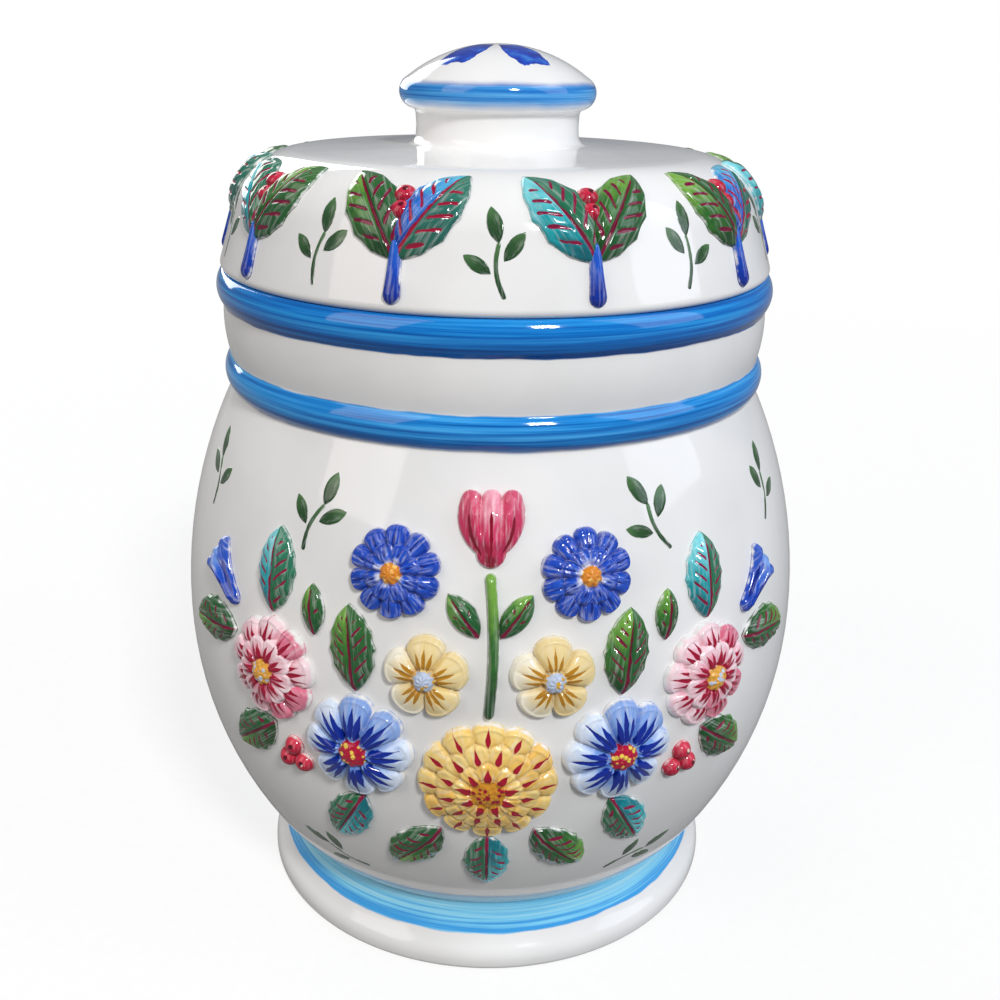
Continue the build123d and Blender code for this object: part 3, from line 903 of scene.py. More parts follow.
@dataclass(frozen=True)
class Cup(Boss):
    """Bell or tulip seen from the side, from its foot at the origin to the lobed mouth along +Y."""

    length: float
    width: float
    foot: float
    waist: float
    _: KW_ONLY
    rings: int = 30
    lobes: int = 3
    relief: float = 4.2

    def sides(self) -> tuple[Array, float]:
        """Right side of the outline and the height of its mouth's corners.

        Returns:
            The points and the height.
        """
        shoulder = self.length - 0.4 * self.width / self.lobes
        foot, mouth = (self.foot, self.foot), (self.width / 2, shoulder)
        low = arc_through((0, 0), (self.foot * 0.7, self.foot * 0.3), foot, 10)
        return np.array(low + arc_through(foot, (self.waist, self.length / 2), mouth, 40)), shoulder

    def outline(self) -> Array:
        """Foot, flared side and round lobes of the mouth.

        Returns:
            Corners of the outline, one to a row.
        """
        right, shoulder = self.sides()
        mouth = []
        for lobe in range(self.lobes):
            start = self.width / 2 - self.width * lobe / self.lobes
            end = start - self.width / self.lobes
            top = ((start + end) / 2, self.length)
            mouth += arc_through((start, shoulder), top, (end, shoulder), 20)
        left = right[::-1] * (-1, 1)
        return np.vstack([right, mouth, left[1:], [(0, 0)]])

    def centre(self) -> Point:
        """Point in the throat of the cup."""
        return (0.0, self.length * 0.58)

    def fields(self, x: Array, y: Array) -> Fields:
        """Round cup with a seam between each two petals and a lip at its mouth.

        Args:
            x: First coordinates.
            y: Second coordinates.

        Returns:
            Fields at the points.
        """
        made = Fields.blank(len(x))
        right, _ = self.sides()
        edge, run = self.edge(x, y), np.clip(y / self.length, 0, 1)
        half = np.interp(y, right[:, 1], right[:, 0])
        lane = (np.clip(x / half, -1, 1) + 1) / 2 * self.lobes
        petal = 2 * half / self.lobes
        seam = np.abs(lane - np.round(lane)) * petal
        seam = np.where((lane < 0.5) | (lane > self.lobes - 0.5), FAR, seam)
        bulge = 0.82 + 0.18 * np.cos(pi * x / (2.4 * half))
        height = self.relief * (0.36 + 0.64 * smooth(0, 4.5, edge)) * bulge
        height -= 1.1 * ridge(seam, 0.6) * smooth(0.25, 0.55, run)
        height += 0.3 * ridge(edge - 0.9, 0.5) * smooth(0.6, 0.8, run)
        made.height = height * rounded(edge, 0.8)
        made.run, made.across = run, x
        made.edge = np.minimum(edge, seam + 0.15 + 3 * np.clip(0.5 - run, 0, 1))
        middle = np.abs(lane % 1 - 0.5) * petal
        made.stroke = 0.42 * smooth(0.1, 0.3, run) - middle - 4 * np.clip(run - 0.62, 0, 1)
        made.tone = np.where(np.round(lane - 0.5) % 2 == 1, 0.2, 0.75)
        return made


@dataclass(frozen=True)
class Stem(Boss):
    """Half-round stem from the origin along +Y, bowed to one side and flared towards its foot."""

    length: float
    width: float
    _: KW_ONLY
    rings: int = 14
    flare: float = 0.0
    bow: float = 0.0
    relief: float = 2.2

    def outline(self) -> Array:
        """Long slot with round ends.

        Returns:
            Corners of the outline, one to a row.
        """
        share = np.linspace(0, 1, 70)
        half = self.width / 2 + self.flare * (1 - share) ** 2
        bend = self.bow * (1 - (2 * share - 1) ** 2)
        right = np.column_stack([bend + half, share * self.length])
        left = np.column_stack([bend - half, share * self.length])[::-1]
        tip = arc_through(tuple(right[-1]), (bend[-1], self.length + half[-1]), tuple(left[0]), 10)
        foot = arc_through(tuple(left[-1]), (bend[0], -half[0]), tuple(right[0]), 10)
        return np.vstack([right, tip[:-1], left, foot[:-1]])

    def centre(self) -> Point:
        """Middle of the stem."""
        return (self.bow, self.length / 2)

    def fields(self, x: Array, y: Array) -> Fields:
        """Half round, plain in colour.

        Args:
            x: First coordinates.
            y: Second coordinates.

        Returns:
            Fields at the points.
        """
        made = Fields.blank(len(x))
        made.run, made.across, made.edge = np.clip(y / self.length, 0, 1), x, self.edge(x, y)
        made.height = self.relief * rounded(made.edge, self.width / 2, 0.96)
        made.tone += 0.3
        return made


@dataclass(frozen=True)
class Berry(Boss):
    """Round berry with a dark tip."""

    radius: float
    relief: float
    _: KW_ONLY
    rings: int = 12

    def outline(self) -> Array:
        """Circle round the origin."""
        angle = np.linspace(0, 2 * pi, 48, endpoint=False)
        return self.radius * np.column_stack([np.sin(angle), np.cos(angle)])

    def fields(self, x: Array, y: Array) -> Fields:
        """Ball with its dark tip a little above the middle.

        Args:
            x: First coordinates.
            y: Second coordinates.

        Returns:
            Fields at the points.
        """
        made = Fields.blank(len(x))
        radius = np.hypot(x, y)
        made.height = self.relief * np.sqrt(np.maximum(1 - (radius / self.radius) ** 2, 0.01))
        made.edge, made.across, made.run = self.radius - radius, x, 0.5 + y / (2 * self.radius)
        made.eye = 0.7 - np.hypot(x - 0.5, y - 0.9)
        return made


@dataclass(frozen=True)
class BellySkin:
    """Round side of the pot: two arcs that meet upright where it is widest, in mm."""

    radius: float = 98.5
    middle: float = 99.0
    base: Point = (79.2, 31.5)
    shoulder: Point = (81.0, 171.2)

    def arc(self, end: Point) -> Point:
        """Centre distance and radius of the arc from the widest place to an end.

        Args:
            end: Radius and height of the end.

        Returns:
            The distance from the jar's axis and the radius.
        """
        inset, rise = self.radius - end[0], end[1] - self.middle
        reach = (inset**2 + rise**2) / (2 * inset)
        return self.radius - reach, reach

    def gap(self, radius: Array, height: Array) -> Array:
        """Distance outside the skin, in mm.

        Args:
            radius: Distances from the jar's axis.
            height: Heights over the ground.

        Returns:
            Distances, below 0 inside.
        """
        low, high = self.arc(self.base), self.arc(self.shoulder)
        centre, reach = (np.where(height < self.middle, *pair) for pair in zip(low, high))
        return np.hypot(radius - centre, height - self.middle) - reach

    def foot(self, height: float, outward: float = 0.0) -> tuple[Point, float]:
        """Point beside the skin at a height, and how far the skin leans upwards there.

        Args:
            height: Height over the ground.
            outward: How far outside the skin the point is.

        Returns:
            Radius and height of the point, and the lean in radians.
        """
        centre, reach = self.arc(self.base if height < self.middle else self.shoulder)
        lean = asin((height - self.middle) / reach)
        reach += outward
        return (centre + reach * cos(lean), self.middle + reach * sin(lean)), lean


@dataclass(frozen=True)
class LidSkin:
    """Outside of the lid: leaning side, round shoulder and nearly level crown, in mm."""

    seat: float = 205.7
    radius: float = 83.2
    corner: Point = (73.0, 238.3)
    round: float = 20.0
    crown_rise: float = 2.4
    stem: float = 24.6

    @property
    def crown(self) -> float:
        """Height of the crown under the knob."""
        return self.corner[1] + self.crown_rise

    def leans(self) -> tuple[float, float]:
        """Lean of the side and of the crown, in radians from level."""
        side = atan2(self.radius - self.corner[0], self.corner[1] - self.seat)
        return side, pi / 2 - atan2(self.crown_rise, self.corner[0] - self.stem)

    def heart(self) -> Array:
        """Centre of the shoulder's arc."""
        outs = np.array([[cos(lean), sin(lean)] for lean in self.leans()])
        return np.array(self.corner) - outs.sum(0) * self.round / (1 + outs[0] @ outs[1])

    def at(self, lean: float, outward: float = 0.0) -> Point:
        """Point beside the shoulder where its skin leans so far."""
        reach, heart = self.round + outward, self.heart()
        return (float(heart[0] + reach * cos(lean)), float(heart[1] + reach * sin(lean)))

    def gap(self, radius: Array, height: Array) -> Array:
        """Distance outside the skin, in mm.

        Args:
            radius: Distances from the jar's axis.
            height: Heights over the ground.

        Returns:
            Distances, below 0 inside.
        """
        heart = self.heart()
        over, up = radius - heart[0], height - heart[1]
        lean = np.clip(np.arctan2(up, over), *self.leans())
        return over * np.cos(lean) + up * np.sin(lean) - self.round


@dataclass(frozen=True)
class Place:
    """Drawing plane that touches a skin, in mm."""

    skin: BellySkin | LidSkin
    origin: Array
    right: Array
    out: Array

    @classmethod
    def on(cls, skin: BellySkin | LidSkin, turn: float, point: Point, lean: float) -> "Place":
        """Lay the plane on a skin.

        Args:
            skin: Skin that the plane touches.
            turn: Angle round the jar from the front, in degrees.
            point: Radius and height of the point that it touches.
            lean: How far the skin leans upwards there, in radians.

        Returns:
            The plane.
        """
        around = radians(turn)
        out = np.array([cos(lean) * sin(around), -cos(lean) * cos(around), sin(lean)])
        right = np.array([cos(around), sin(around), 0.0])
        origin = np.array([point[0] * sin(around), -point[0] * cos(around), point[1]])
        return cls(skin, origin, right, out)

    @property
    def up(self) -> Array:
        """Direction of the plane's Y."""
        return np.cross(self.out, self.right)

    def moved(self, x: float, y: float, turn: float = 0.0) -> "Place":
        """The same plane with its origin moved in it and its axes turned, in mm and degrees."""
        right = self.right * cos(radians(turn)) + self.up * sin(radians(turn))
        return Place(self.skin, self.origin + self.right * x + self.up * y, right, self.out)

    def seat(self, x: Array, y: Array, height: Array) -> Array:
        """Points that stand over the skin, straight above or below points of the plane.

        Args:
            x: First coordinates in the plane.
            y: Second coordinates in the plane.
            height: Heights over the skin.

        Returns:
            Points in mm, one to a row.
        """
        plane = self.origin + x[:, None] * self.right + y[:, None] * self.up
        depth = np.zeros(len(x))
        # Each round closes in on the depth, more slowly where the skin leans away from the plane
        for _ in range(40):
            at = plane - depth[:, None] * self.out
            depth += self.skin.gap(np.hypot(at[:, 0], at[:, 1]), at[:, 2]) - height
        return plane - depth[:, None] * self.out


def make_mesh(
    name: str, points: Array, faces: list[Face], marks: dict[str, Array], finishes: Sequence[Finish]
) -> bpy.types.Mesh:
    """Make a smooth mesh with its marks and finishes.

    Args:
        name: Name of the mesh.
        points: Points in mm.
        faces: Corner numbers of each face.
        marks: Values at the points, which the finishes read by name.
        finishes: Finishes in the order of their numbers on the faces.

    Returns:
        The mesh.
    """
    mesh = bpy.data.meshes.new(name)
    mesh.from_pydata((points * MM).tolist(), [], faces)
    for title, values in marks.items():
        layer = mesh.attributes.new(title, "FLOAT", "POINT")
        layer.data.foreach_set("value", values.astype(np.float32))
    for finish in finishes:
        mesh.materials.append(finish.material())
    mesh.shade_smooth()
    return mesh


def hang(mesh: bpy.types.Mesh, body: str, slot: str, *nodes: str) -> bpy.types.Object:
    """Put a mesh in the scene, on its body and in place of its CAD nodes.

    Args:
        mesh: Mesh of the piece, which gives it its name.
        body: CAD body that it rides on.
        slot: Material slot of the record; not used.
        nodes: CAD nodes that it replaces.

    Returns:
        The new object.
    """
    piece = bpy.data.objects.new(mesh.name, mesh)
    bpy.context.scene.collection.objects.link(piece)
    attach(piece, body)
    if nodes:
        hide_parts(*nodes)
    log.info("%s: %d faces on %s", piece.name, len(mesh.polygons), body)
    return piece


@dataclass
class SprigPiece:
    """Gathers the bosses of one piece for its mesh; depth is how far they go into the wall."""

    name: str
    depth: float = 0.5
    points: list[Array] = field(default_factory=list)
    faces: list[Face] = field(default_factory=list)
    paints: list[int] = field(default_factory=list)
    finishes: list[Finish] = field(default_factory=list)
    marks: dict[str, list[Array]] = field(default_factory=dict)

    def press(self, boss: Boss, place: Place, slip: Slip) -> None:
        """Press one boss on a skin.

        Args:
            boss: Form to press.
            place: Plane in which it is drawn.
            slip: Paint on it.
        """
        outline, centre = boss.outline(), np.array(boss.centre())
        count, start = len(outline), sum(len(part) for part in self.points)
        # Rings of points lie closer together towards the edge
        shares = 1 - (1 - np.arange(1, boss.rings + 1) / boss.rings) ** 1.5
        flat = np.vstack([centre, *(centre + (outline - centre) * share for share in shares)])
        made = boss.fields(*flat.T)
        top = place.seat(*flat.T, made.height)
        skirt = place.seat(*outline.T, np.full(count, -self.depth))
        under = place.seat(centre[:1], centre[1:], np.array([-self.depth]))
        self.points.append(np.vstack([top, skirt, under]))
        for part in fields(made):
            if part.name != "height":
                value = getattr(made, part.name)
                rim = np.full(count, 0.35) if part.name == "edge" else value[-count:]
                self.marks.setdefault(part.name, []).append(np.concatenate([value, rim, value[:1]]))
        if slip.value not in self.finishes:
            self.finishes.append(slip.value)
        loops = facing_out(self.points[-1], ring_faces(boss.rings + 1, count))
        self.faces += [tuple(start + corner for corner in loop) for loop in loops]
        self.paints += [self.finishes.index(slip.value)] * len(loops)

    def finish(self, body: str, slot: str, *nodes: str) -> bpy.types.Object:
        """Make the piece and hang it on its body.

        Args:
            body: CAD body that it rides on.
            slot: Material slot of the record.
            nodes: CAD nodes that it replaces.

        Returns:
            The new object.
        """
        title = f"{self.name}_glazed" if nodes else self.name
        marks = {name: np.concatenate(values) for name, values in self.marks.items()}
        mesh = make_mesh(title, np.vstack(self.points), self.faces, marks, self.finishes)
        mesh.polygons.foreach_set("material_index", self.paints)
        return hang(mesh, body, slot, *nodes)


def throw(
    name: str,
    outside: Sequence[Point],
    inside: Sequence[Point],
    glaze: Finish,
    wiped: float | None = None,
) -> bpy.types.Mesh:
    """Turn a profile round the axis, as on a potter's wheel.

    Args:
        name: Name of the mesh.
        outside: Profile of the outside in mm, from the axis or from a bore.
        inside: Rest of the profile, back to the axis or to the start.
        glaze: Finish of the piece.
        wiped: Height in mm of a level ring that is wiped bare before the firing.

    Returns:
        The closed mesh, with an attribute that tells outside from inside.
    """
    segments, spread, step, bend, longest, near = 256, 0.55, 0.15, radians(2.6), 6.0, 1.2
    profile = thin_out(soften([*outside, *inside], step, spread), bend, longest)
    marks = (distance_to(np.array(outside), *profile.T) < near).astype(float)
    bored = outside[0][0] > 0
    walls = slice(0 if bored else 1, -1)
    radius, height = (profile[walls, axis, None] for axis in (0, 1))
    ring = np.linspace(0, 2 * pi, segments, endpoint=False)
    turned = (radius * np.sin(ring), -radius * np.cos(ring), np.repeat(height, segments, axis=1))
    points, shares = np.stack(turned, axis=2).reshape(-1, 3), np.repeat(marks[walls], segments)
    if not bored:
        first, last = ((0.0, 0.0, profile[end, 1]) for end in (0, -1))
        points, shares = np.vstack([first, points, last]), np.array([marks[0], *shares, marks[-1]])
    faces = facing_out(points, ring_faces(len(radius), segments, bored))
    finishes = [glaze] if wiped is None else [glaze, BareClay()]
    mesh = make_mesh(name, points, faces, {"outside": shares}, finishes)
    for face in mesh.polygons if wiped is not None else ():
        if all(abs(mesh.vertices[corner].co.z / MM - wiped) < 0.05 for corner in face.vertices):
            face.material_index = 1
    return mesh


@dataclass
class Pot:
    """Hollow pot: foot, waist, belly, two painted beads with a collar between them, and rim."""

    skin: BellySkin = BellySkin()
    foot_radius: float = 76.3
    foot_edge: float = 5.5
    foot_lip: float = 2.9
    foot_round: float = 1.6
    foot_ring: float = 9.0
    foot_recess: float = 3.0
    waist: Point = (69.5, 20.5)
    band_low: float = 10.6
    bead: float = 9.5
    bead_swell: float = 2.0
    collar: float = 15.3
    collar_swell: float = 0.7
    rim_radius: float = 82.2
    rim_bead: float = 9.7
    rim_swell: float = 1.8
    wall: float = 6.0
    foot_wall: float = 8.5
    floor: float = 10.0
    floor_round: float = 9.0

    def build(self) -> bpy.types.Object:
        """Throw and glaze the pot.

        Returns:
            The pot.
        """
        skin, shoulder, base = self.skin, self.skin.shoulder, self.skin.base
        widest, inner_widest = (skin.radius, skin.middle), (skin.radius - self.wall, skin.middle)
        bead_top = (shoulder[0], shoulder[1] + self.bead)
        collar_top = (self.rim_radius, bead_top[1] + self.collar)
        rim = (self.rim_radius, collar_top[1] + self.rim_bead)
        # Foot ring, rounded edge, hollow side up to the waist, and the crease below the belly
        ring, lip = self.foot_radius - self.foot_ring, (self.foot_radius, self.foot_lip)
        start = (self.foot_radius - self.foot_round, 0.0)
        hollow = tangent_arc(self.waist, DOWN, (self.foot_radius, self.foot_edge))
        lean = skin.foot(base[1])[1]
        outside: list[Point] = [(0, self.foot_recess), (ring, self.foot_recess), (ring, 0), start]
        outside += tangent_arc(start, (1, 0), (self.foot_radius, self.foot_round), 8) + [lip]
        outside += tangent_arc(lip, UP, hollow[-5], 12) + hollow[-6::-1] + [self.waist]
        outside += tangent_arc(base, (sin(lean), -cos(lean)), self.waist)[-2::-1] + [base]
        outside += tangent_arc(widest, DOWN, base, 60)[-2::-1] + [widest]
        outside += tangent_arc(widest, UP, shoulder, 60)
        corners = (shoulder, bead_top, collar_top, rim)
        swells = (self.bead_swell, self.collar_swell, self.rim_swell)
        for low, high, swell in zip(corners, corners[1:], swells):
            middle = ((low[0] + high[0]) / 2 + swell, (low[1] + high[1]) / 2)
            outside += arc_through(low, middle, high)
        mouth, well = (shoulder[0] - self.wall, shoulder[1]), self.waist[0] - self.foot_wall
        corner = (well, self.floor + self.floor_round)
        inside: list[Point] = [(mouth[0], rim[1]), mouth]
        inside += tangent_arc(inner_widest, UP, mouth, 60)[-2::-1] + [inner_widest]
        inside += tangent_arc(inner_widest, DOWN, skin.foot(base[1], -self.wall)[0], 60)
        inside += [(well, self.waist[1]), corner]
        inside += tangent_arc(corner, DOWN, (well - self.floor_round, self.floor))
        inside += [(0, self.floor)]
        bands = (
            # The waist band is a sky blue, painted paler still as painted light for the light that
            # falls on it
            Band(self.band_low, self.waist[1] + 0.4, "#ACE8FF", "#84DAFF", "#44A6EC"),
            Band(shoulder[1] - 0.2, bead_top[1] + 0.2, "#48ACEE", "#1A86D6", "#055AA6", fade=1.2),
            Band(collar_top[1] - 0.2, rim[1] + 0.6),
        )
        glaze = WhiteGlaze("white_glazed_earthenware_pot", bands)
        return hang(throw("pot", outside, inside, glaze, 0.0), "jar", "white_glaze", "jar_body")


@dataclass
class Lid:
    """Domed lid with a collar that drops into the mouth, and the knob luted to its crown."""

    skin: LidSkin = LidSkin()
    wall: float = 5.5
    edge_round: float = 2.4
    mouth: float = 75.0
    clearance: float = 1.5
    collar_depth: float = 7.0
    collar_wall: float = 5.0
    vent: float = 3.0
    stem_height: float = 9.6
    stem_hollow: float = 0.7
    cap_radius: float = 28.8
    cap_edge: float = 9.0
    cap_neck: float = 26.2
    dome: float = 9.0
    knob_wall: float = 5.0
    foot_round: float = 2.2
    bed: float = 0.6

    def build(self) -> bpy.types.Object:
        """Throw and glaze the lid.

        Returns:
            The lid.
        """
        skin, seat, top = self.skin, self.skin.seat, self.skin.crown
        (side, crown), under = skin.leans(), top - self.wall
        collar_outer, collar_low = self.mouth - self.clearance, seat - self.collar_depth
        collar_inner, ledge = collar_outer - self.collar_wall, seat + self.wall
        inner_side = skin.at(side, -self.wall)
        edge_radius = skin.at(side)[0] + (skin.at(side)[1] - seat) * tan(side)
        lifted = (edge_radius - self.edge_round * tan(side), seat + self.edge_round)
        rounded_to = (edge_radius - self.edge_round * 1.1, seat)
        outside = [(self.vent, under), (self.vent, top), (skin.stem, top), skin.at(crown)]
        outside += arc_through(skin.at(crown), skin.at(pi / 4), skin.at(side), 40) + [lifted]
        outside += tangent_arc(lifted, (sin(side), -cos(side)), rounded_to, 10)
        inside: list[Point] = [
            (collar_outer, seat),
            (collar_outer, collar_low),
            (collar_inner, collar_low),
            (collar_inner, ledge),
            (inner_side[0] + (inner_side[1] - ledge - self.wall) * tan(side), ledge + self.wall),
            inner_side,
        ]
        inner_way, inner_crown = (skin.at(lean, -self.wall) for lean in (pi / 4, crown))
        inside += arc_through(inner_side, inner_way, inner_crown, 40)
        inside += [(skin.stem, under), (self.vent, under)]
        mesh = throw("lid", outside, inside, WhiteGlaze("white_glazed_earthenware_lid"), collar_low)
        return hang(mesh, "lid", "white_glaze", "lid_shell")

    def build_knob(self) -> bpy.types.Object:
        """Throw and paint the knob.

        Returns:
            The knob.
        """
        stem, seat, flare = self.skin.stem, self.skin.crown, self.foot_round
        neck, bore = seat + self.stem_height, stem - self.knob_wall
        cap_top = neck + self.cap_edge
        top, low = cap_top + self.dome, seat - self.bed
        rim, edge = (self.cap_neck, cap_top), (self.cap_radius, cap_top - self.cap_edge / 2)
        above, foot = (stem - 0.5, seat + flare), stem + flare * 0.8
        outside: list[Point] = [(0, top)]
        outside += tangent_arc((0, top), (1, 0), rim, 40) + arc_through(rim, edge, (stem, neck), 24)
        throat = (stem - self.stem_hollow, seat + self.stem_height / 2)
        outside += [(stem - 0.5, neck - 0.8), throat, above]
        outside += tangent_arc(above, (0.1, -1), (foot, seat), 10) + [(foot + 1.2, low)]
        inside = [(bore, low), (bore, cap_top - self.knob_wall / 2), (0, top - self.knob_wall)]
        blues = ("#74B8EA", "#3E96DC", "#1468BC")
        band = Band(neck + 0.2, cap_top - 0.6, *blues, fade=3.2, lift=1.8, pool=-0.42)
        glaze = WhiteGlaze("white_glazed_earthenware_knob", (band,), rosette=self.cap_neck - 5.5)
        return hang(throw("knob", outside, inside, glaze), "lid", "white_glaze", "lid_knob")


class Blossom(Enum):
    """Flowers of the swag."""

    DAHLIA = Flower(
        (
            PetalRing(12, 19.0, 0.88, 4.6, 1.9, 0.0, (0.0,), 0.78, 1.02, 0.95),
            PetalRing(12, 14.2, 0.86, 5.6, 3.1, 0.5, (0.0,), 0.7, 1.0, 0.95),
            PetalRing(9, 9.4, 0.82, 6.2, 4.3, 0.0, (0.0,), 0.5, 0.95, 1.0),
        ),
        eye=4.6, eye_top=6.55, seed=3,
    )
    DAISY = Flower(
        (PetalRing(8, 15.8, 0.74, 4.5, 2.0, 0.0, (-0.52, 0.0, 0.52), 0.36, 0.95, 0.75),),
        eye=4.0, eye_top=6.0, puff=1.0, groove=1.5, crease=0.5, seed=5,
    )
    ZINNIA = Flower(
        (
            PetalRing(9, 15.2, 0.82, 3.9, 1.8, 0.0, (-0.5, 0.0, 0.5), 0.4, 1.0, 0.6),
            PetalRing(9, 10.0, 0.78, 4.9, 3.2, 0.5, (-0.35, 0.35), 0.35, 0.98, 0.6),
        ),
        eye=3.6, eye_top=6.0, puff=0.7, groove=1.2, seed=8,
    )
    CREAM = Flower(
        (PetalRing(5, 11.6, 0.68, 3.5, 1.8, 0.0, (-0.45, 0.0, 0.45), 0.3, 0.82, 0.5),),
        eye=2.9, eye_top=5.2, rings=48, puff=0.9, groove=1.2, seed=13,
    )
    CORNFLOWER = Flower(
        (
            PetalRing(10, 12.4, 0.8, 3.5, 1.6, 0.0, (0.0,), 0.55, 0.92, 0.4),
            PetalRing(8, 7.8, 0.76, 4.3, 2.6, 0.5, (0.0,), 0.6, 0.9, 0.35),
        ),
        eye=2.8, eye_top=5.2, rings=48, seed=21,
    )


@dataclass
class Swag:
    """Garland of moulded flowers and leaves that hangs across one face of the belly, in mm.

    A size in a pair is a length and a width, and a place in a pair is a distance along the swag
    from its middle and a height over its line.
    """

    back: bool
    skin: BellySkin = BellySkin()
    low: float = 84.0
    rise: float = 42.0
    reach: float = 86.0
    gap: float = 1.0
    dahlia_radius: float = 19.0
    daisy_along: float = 35.6
    daisy_radius: float = 15.8
    zinnia_along: float = 64.0
    zinnia_radius: float = 15.2
    cream_place: Point = (16.6, 29.5)
    cornflower_place: Point = (26.5, 53.5)
    bell_along: float = 80.2
    bell_turn: float = 50.0
    bell_size: Point = (19.0, 15.0)
    tulip_above: float = 60.0
    tulip_size: Point = (20.0, 15.5)
    stem_width: float = 2.8
    small_leaf: Point = (14.0, 7.0)
    small_leaf_turn: float = 36.0
    berries_place: Point = (57.5, -21.5)
    berry_radius: float = 3.0
    berries_apart: float = 1.1
    leaf: Point = (24.0, 13.4)
    teeth: int = 6

    def place(self, along: float, above: float, side: int = 1, turn: float = 0.0) -> Place:
        """Plane on the belly beside the line of the swag.

        Args:
            along: Distance from the middle, measured on the widest girth.
            above: Height over the swag's line.
            side: 1 for the right and -1 for the left.
            turn: Lean of the plane's Y away from the middle, in degrees.

        Returns:
            The plane.
        """
        point, lean = self.skin.foot(self.low + self.rise * (along / self.reach) ** 2 + above)
        around = side * along / self.skin.radius * 180 / pi + (180 if self.back else 0)
        return Place.on(self.skin, around, point, lean).moved(0, 0, -side * turn)

    def lute(
        self, kind: str, slot: str, *pressed: tuple[Boss, Place, Slip], hand: str = ""
    ) -> None:
        """Press the bosses of one piece and put it in place of the CAD node of its name.

        Args:
            kind: First word of the piece's name.
            slot: Material slot of the record.
            pressed: Bosses with their planes and paints.
            hand: Side of the swag, or nothing in its middle.
        """
        face = "back" if self.back else "front"
        piece = SprigPiece("_".join(filter(None, (kind, face, hand))))
        for boss, place, slip in pressed:
            piece.press(boss, place, slip)
        piece.finish("jar", slot, piece.name)

    def build(self) -> None:
        """Press, paint and lute all sprigs of the swag."""
        low = self.place(0, -self.dahlia_radius - self.gap, turn=180)
        low_leaf = Leaf(*self.leaf, teeth=self.teeth, seed=4)
        mouth = self.bell_size[1]
        bell = Cup(*self.bell_size, foot=mouth / 6, waist=mouth / 4)
        berry = Berry(radius=self.berry_radius, relief=self.berry_radius)
        apart = self.berry_radius * self.berries_apart
        angles = [radians(angle) for angle in (90, 210, 330)]
        trio = [(apart * cos(angle), apart * sin(angle)) for angle in angles]
        flowers = (
            ("daisy", Blossom.DAISY, (self.daisy_along, 0), Slip.PERIWINKLE, "periwinkle_glaze"),
            ("zinnia", Blossom.ZINNIA, (self.zinnia_along, 0), Slip.PINK, "pink_glaze"),
            ("blossom", Blossom.CREAM, self.cream_place, Slip.CREAM, "cream_glaze"),
            ("cornflower", Blossom.CORNFLOWER, self.cornflower_place, Slip.COBALT, "cobalt_glaze"),
        )
        self.lute("dahlia", "golden_glaze", (Blossom.DAHLIA.value, self.place(0, 0), Slip.GOLDEN))
        self.lute("low_leaf", "green_glaze", (low_leaf, low, Slip.TEAL))
        self.lute("tulip", "pink_glaze", *self._tulip())
        for side, hand in ((-1, "left"), (1, "right")):
            for kind, flower, spot, slip, slot in flowers:
                self.lute(kind, slot, (flower.value, self.place(*spot, side), slip), hand=hand)
            hung, cluster = (
                self.place(self.bell_along, 0, side, self.bell_turn),
                self.place(*self.berries_place, side),
            )
            self.lute("bell", "cobalt_glaze", (bell, hung, Slip.COBALT_CUP), hand=hand)
            berries = [(berry, cluster.moved(*spot), Slip.CRIMSON) for spot in trio]
            self.lute("berries", "crimson_glaze", *berries, hand=hand)
            self.lute("leaves", "green_glaze", *self._leaves(side), hand=hand)

    def _leaves(self, side: int) -> list[tuple[Boss, Place, Slip]]:
        """The six leaves on one side of the swag, and a small one between them.

        Args:
            side: 1 for the right and -1 for the left.

        Returns:
            Leaves with their planes and paints.
        """
        daisy, zinnia = self.daisy_radius + self.gap, self.zinnia_radius + self.gap
        spots = (
            (self.dahlia_radius * 0.7, -self.dahlia_radius, 140, Slip.GREEN),
            (self.daisy_along, -daisy, 150, Slip.TEAL),
            (self.daisy_along, daisy, 8, Slip.GREEN),
            (self.zinnia_along, -zinnia - self.gap, 126, Slip.GREEN),
            (self.zinnia_along, zinnia, 2, Slip.TEAL),
            (self.zinnia_along + zinnia, -self.bell_size[0] * 0.4, 95, Slip.GREEN),
        )
        leaves = [
            (Leaf(*self.leaf, teeth=self.teeth, seed=seed), self.place(*spot, side, turn), slip)
            for seed, (*spot, turn, slip) in enumerate(spots, 10)
        ]
        near = self.daisy_along + self.daisy_radius
        between = (near + self.zinnia_along - self.zinnia_radius) / 2
        filler = self.place(between - self.gap, self.zinnia_radius + 8 * self.gap, side, 8)
        return leaves + [(Leaf(*self.small_leaf, seed=19), filler, Slip.GREEN)]

    def _tulip(self) -> list[tuple[Boss, Place, Slip]]:
        """The tulip over the middle of the swag, its stem and two small leaves.

        Returns:
            Forms with their planes and paints.
        """
        foot = self.tulip_above - self.stem_width / 2 - self.gap
        stem_foot = self.dahlia_radius + self.stem_width / 2 + self.gap
        width = self.tulip_size[1]
        cup = Cup(*self.tulip_size, foot=width / 4, waist=width * 0.52)
        stem = Stem(length=foot - stem_foot, width=self.stem_width, bow=self.gap)
        joint = (self.stem_width, (foot + stem_foot) / 2 + self.stem_width)
        leaves = [
            (
                Leaf(*self.small_leaf, seed=side + 7),
                self.place(*joint, side, self.small_leaf_turn),
                Slip.GREEN,
            )
            for side in (-1, 1)
        ]
        bloom = (cup, self.place(0, self.tulip_above), Slip.ROSE)
        return [bloom, (stem, self.place(0, stem_foot), Slip.GREEN), *leaves]


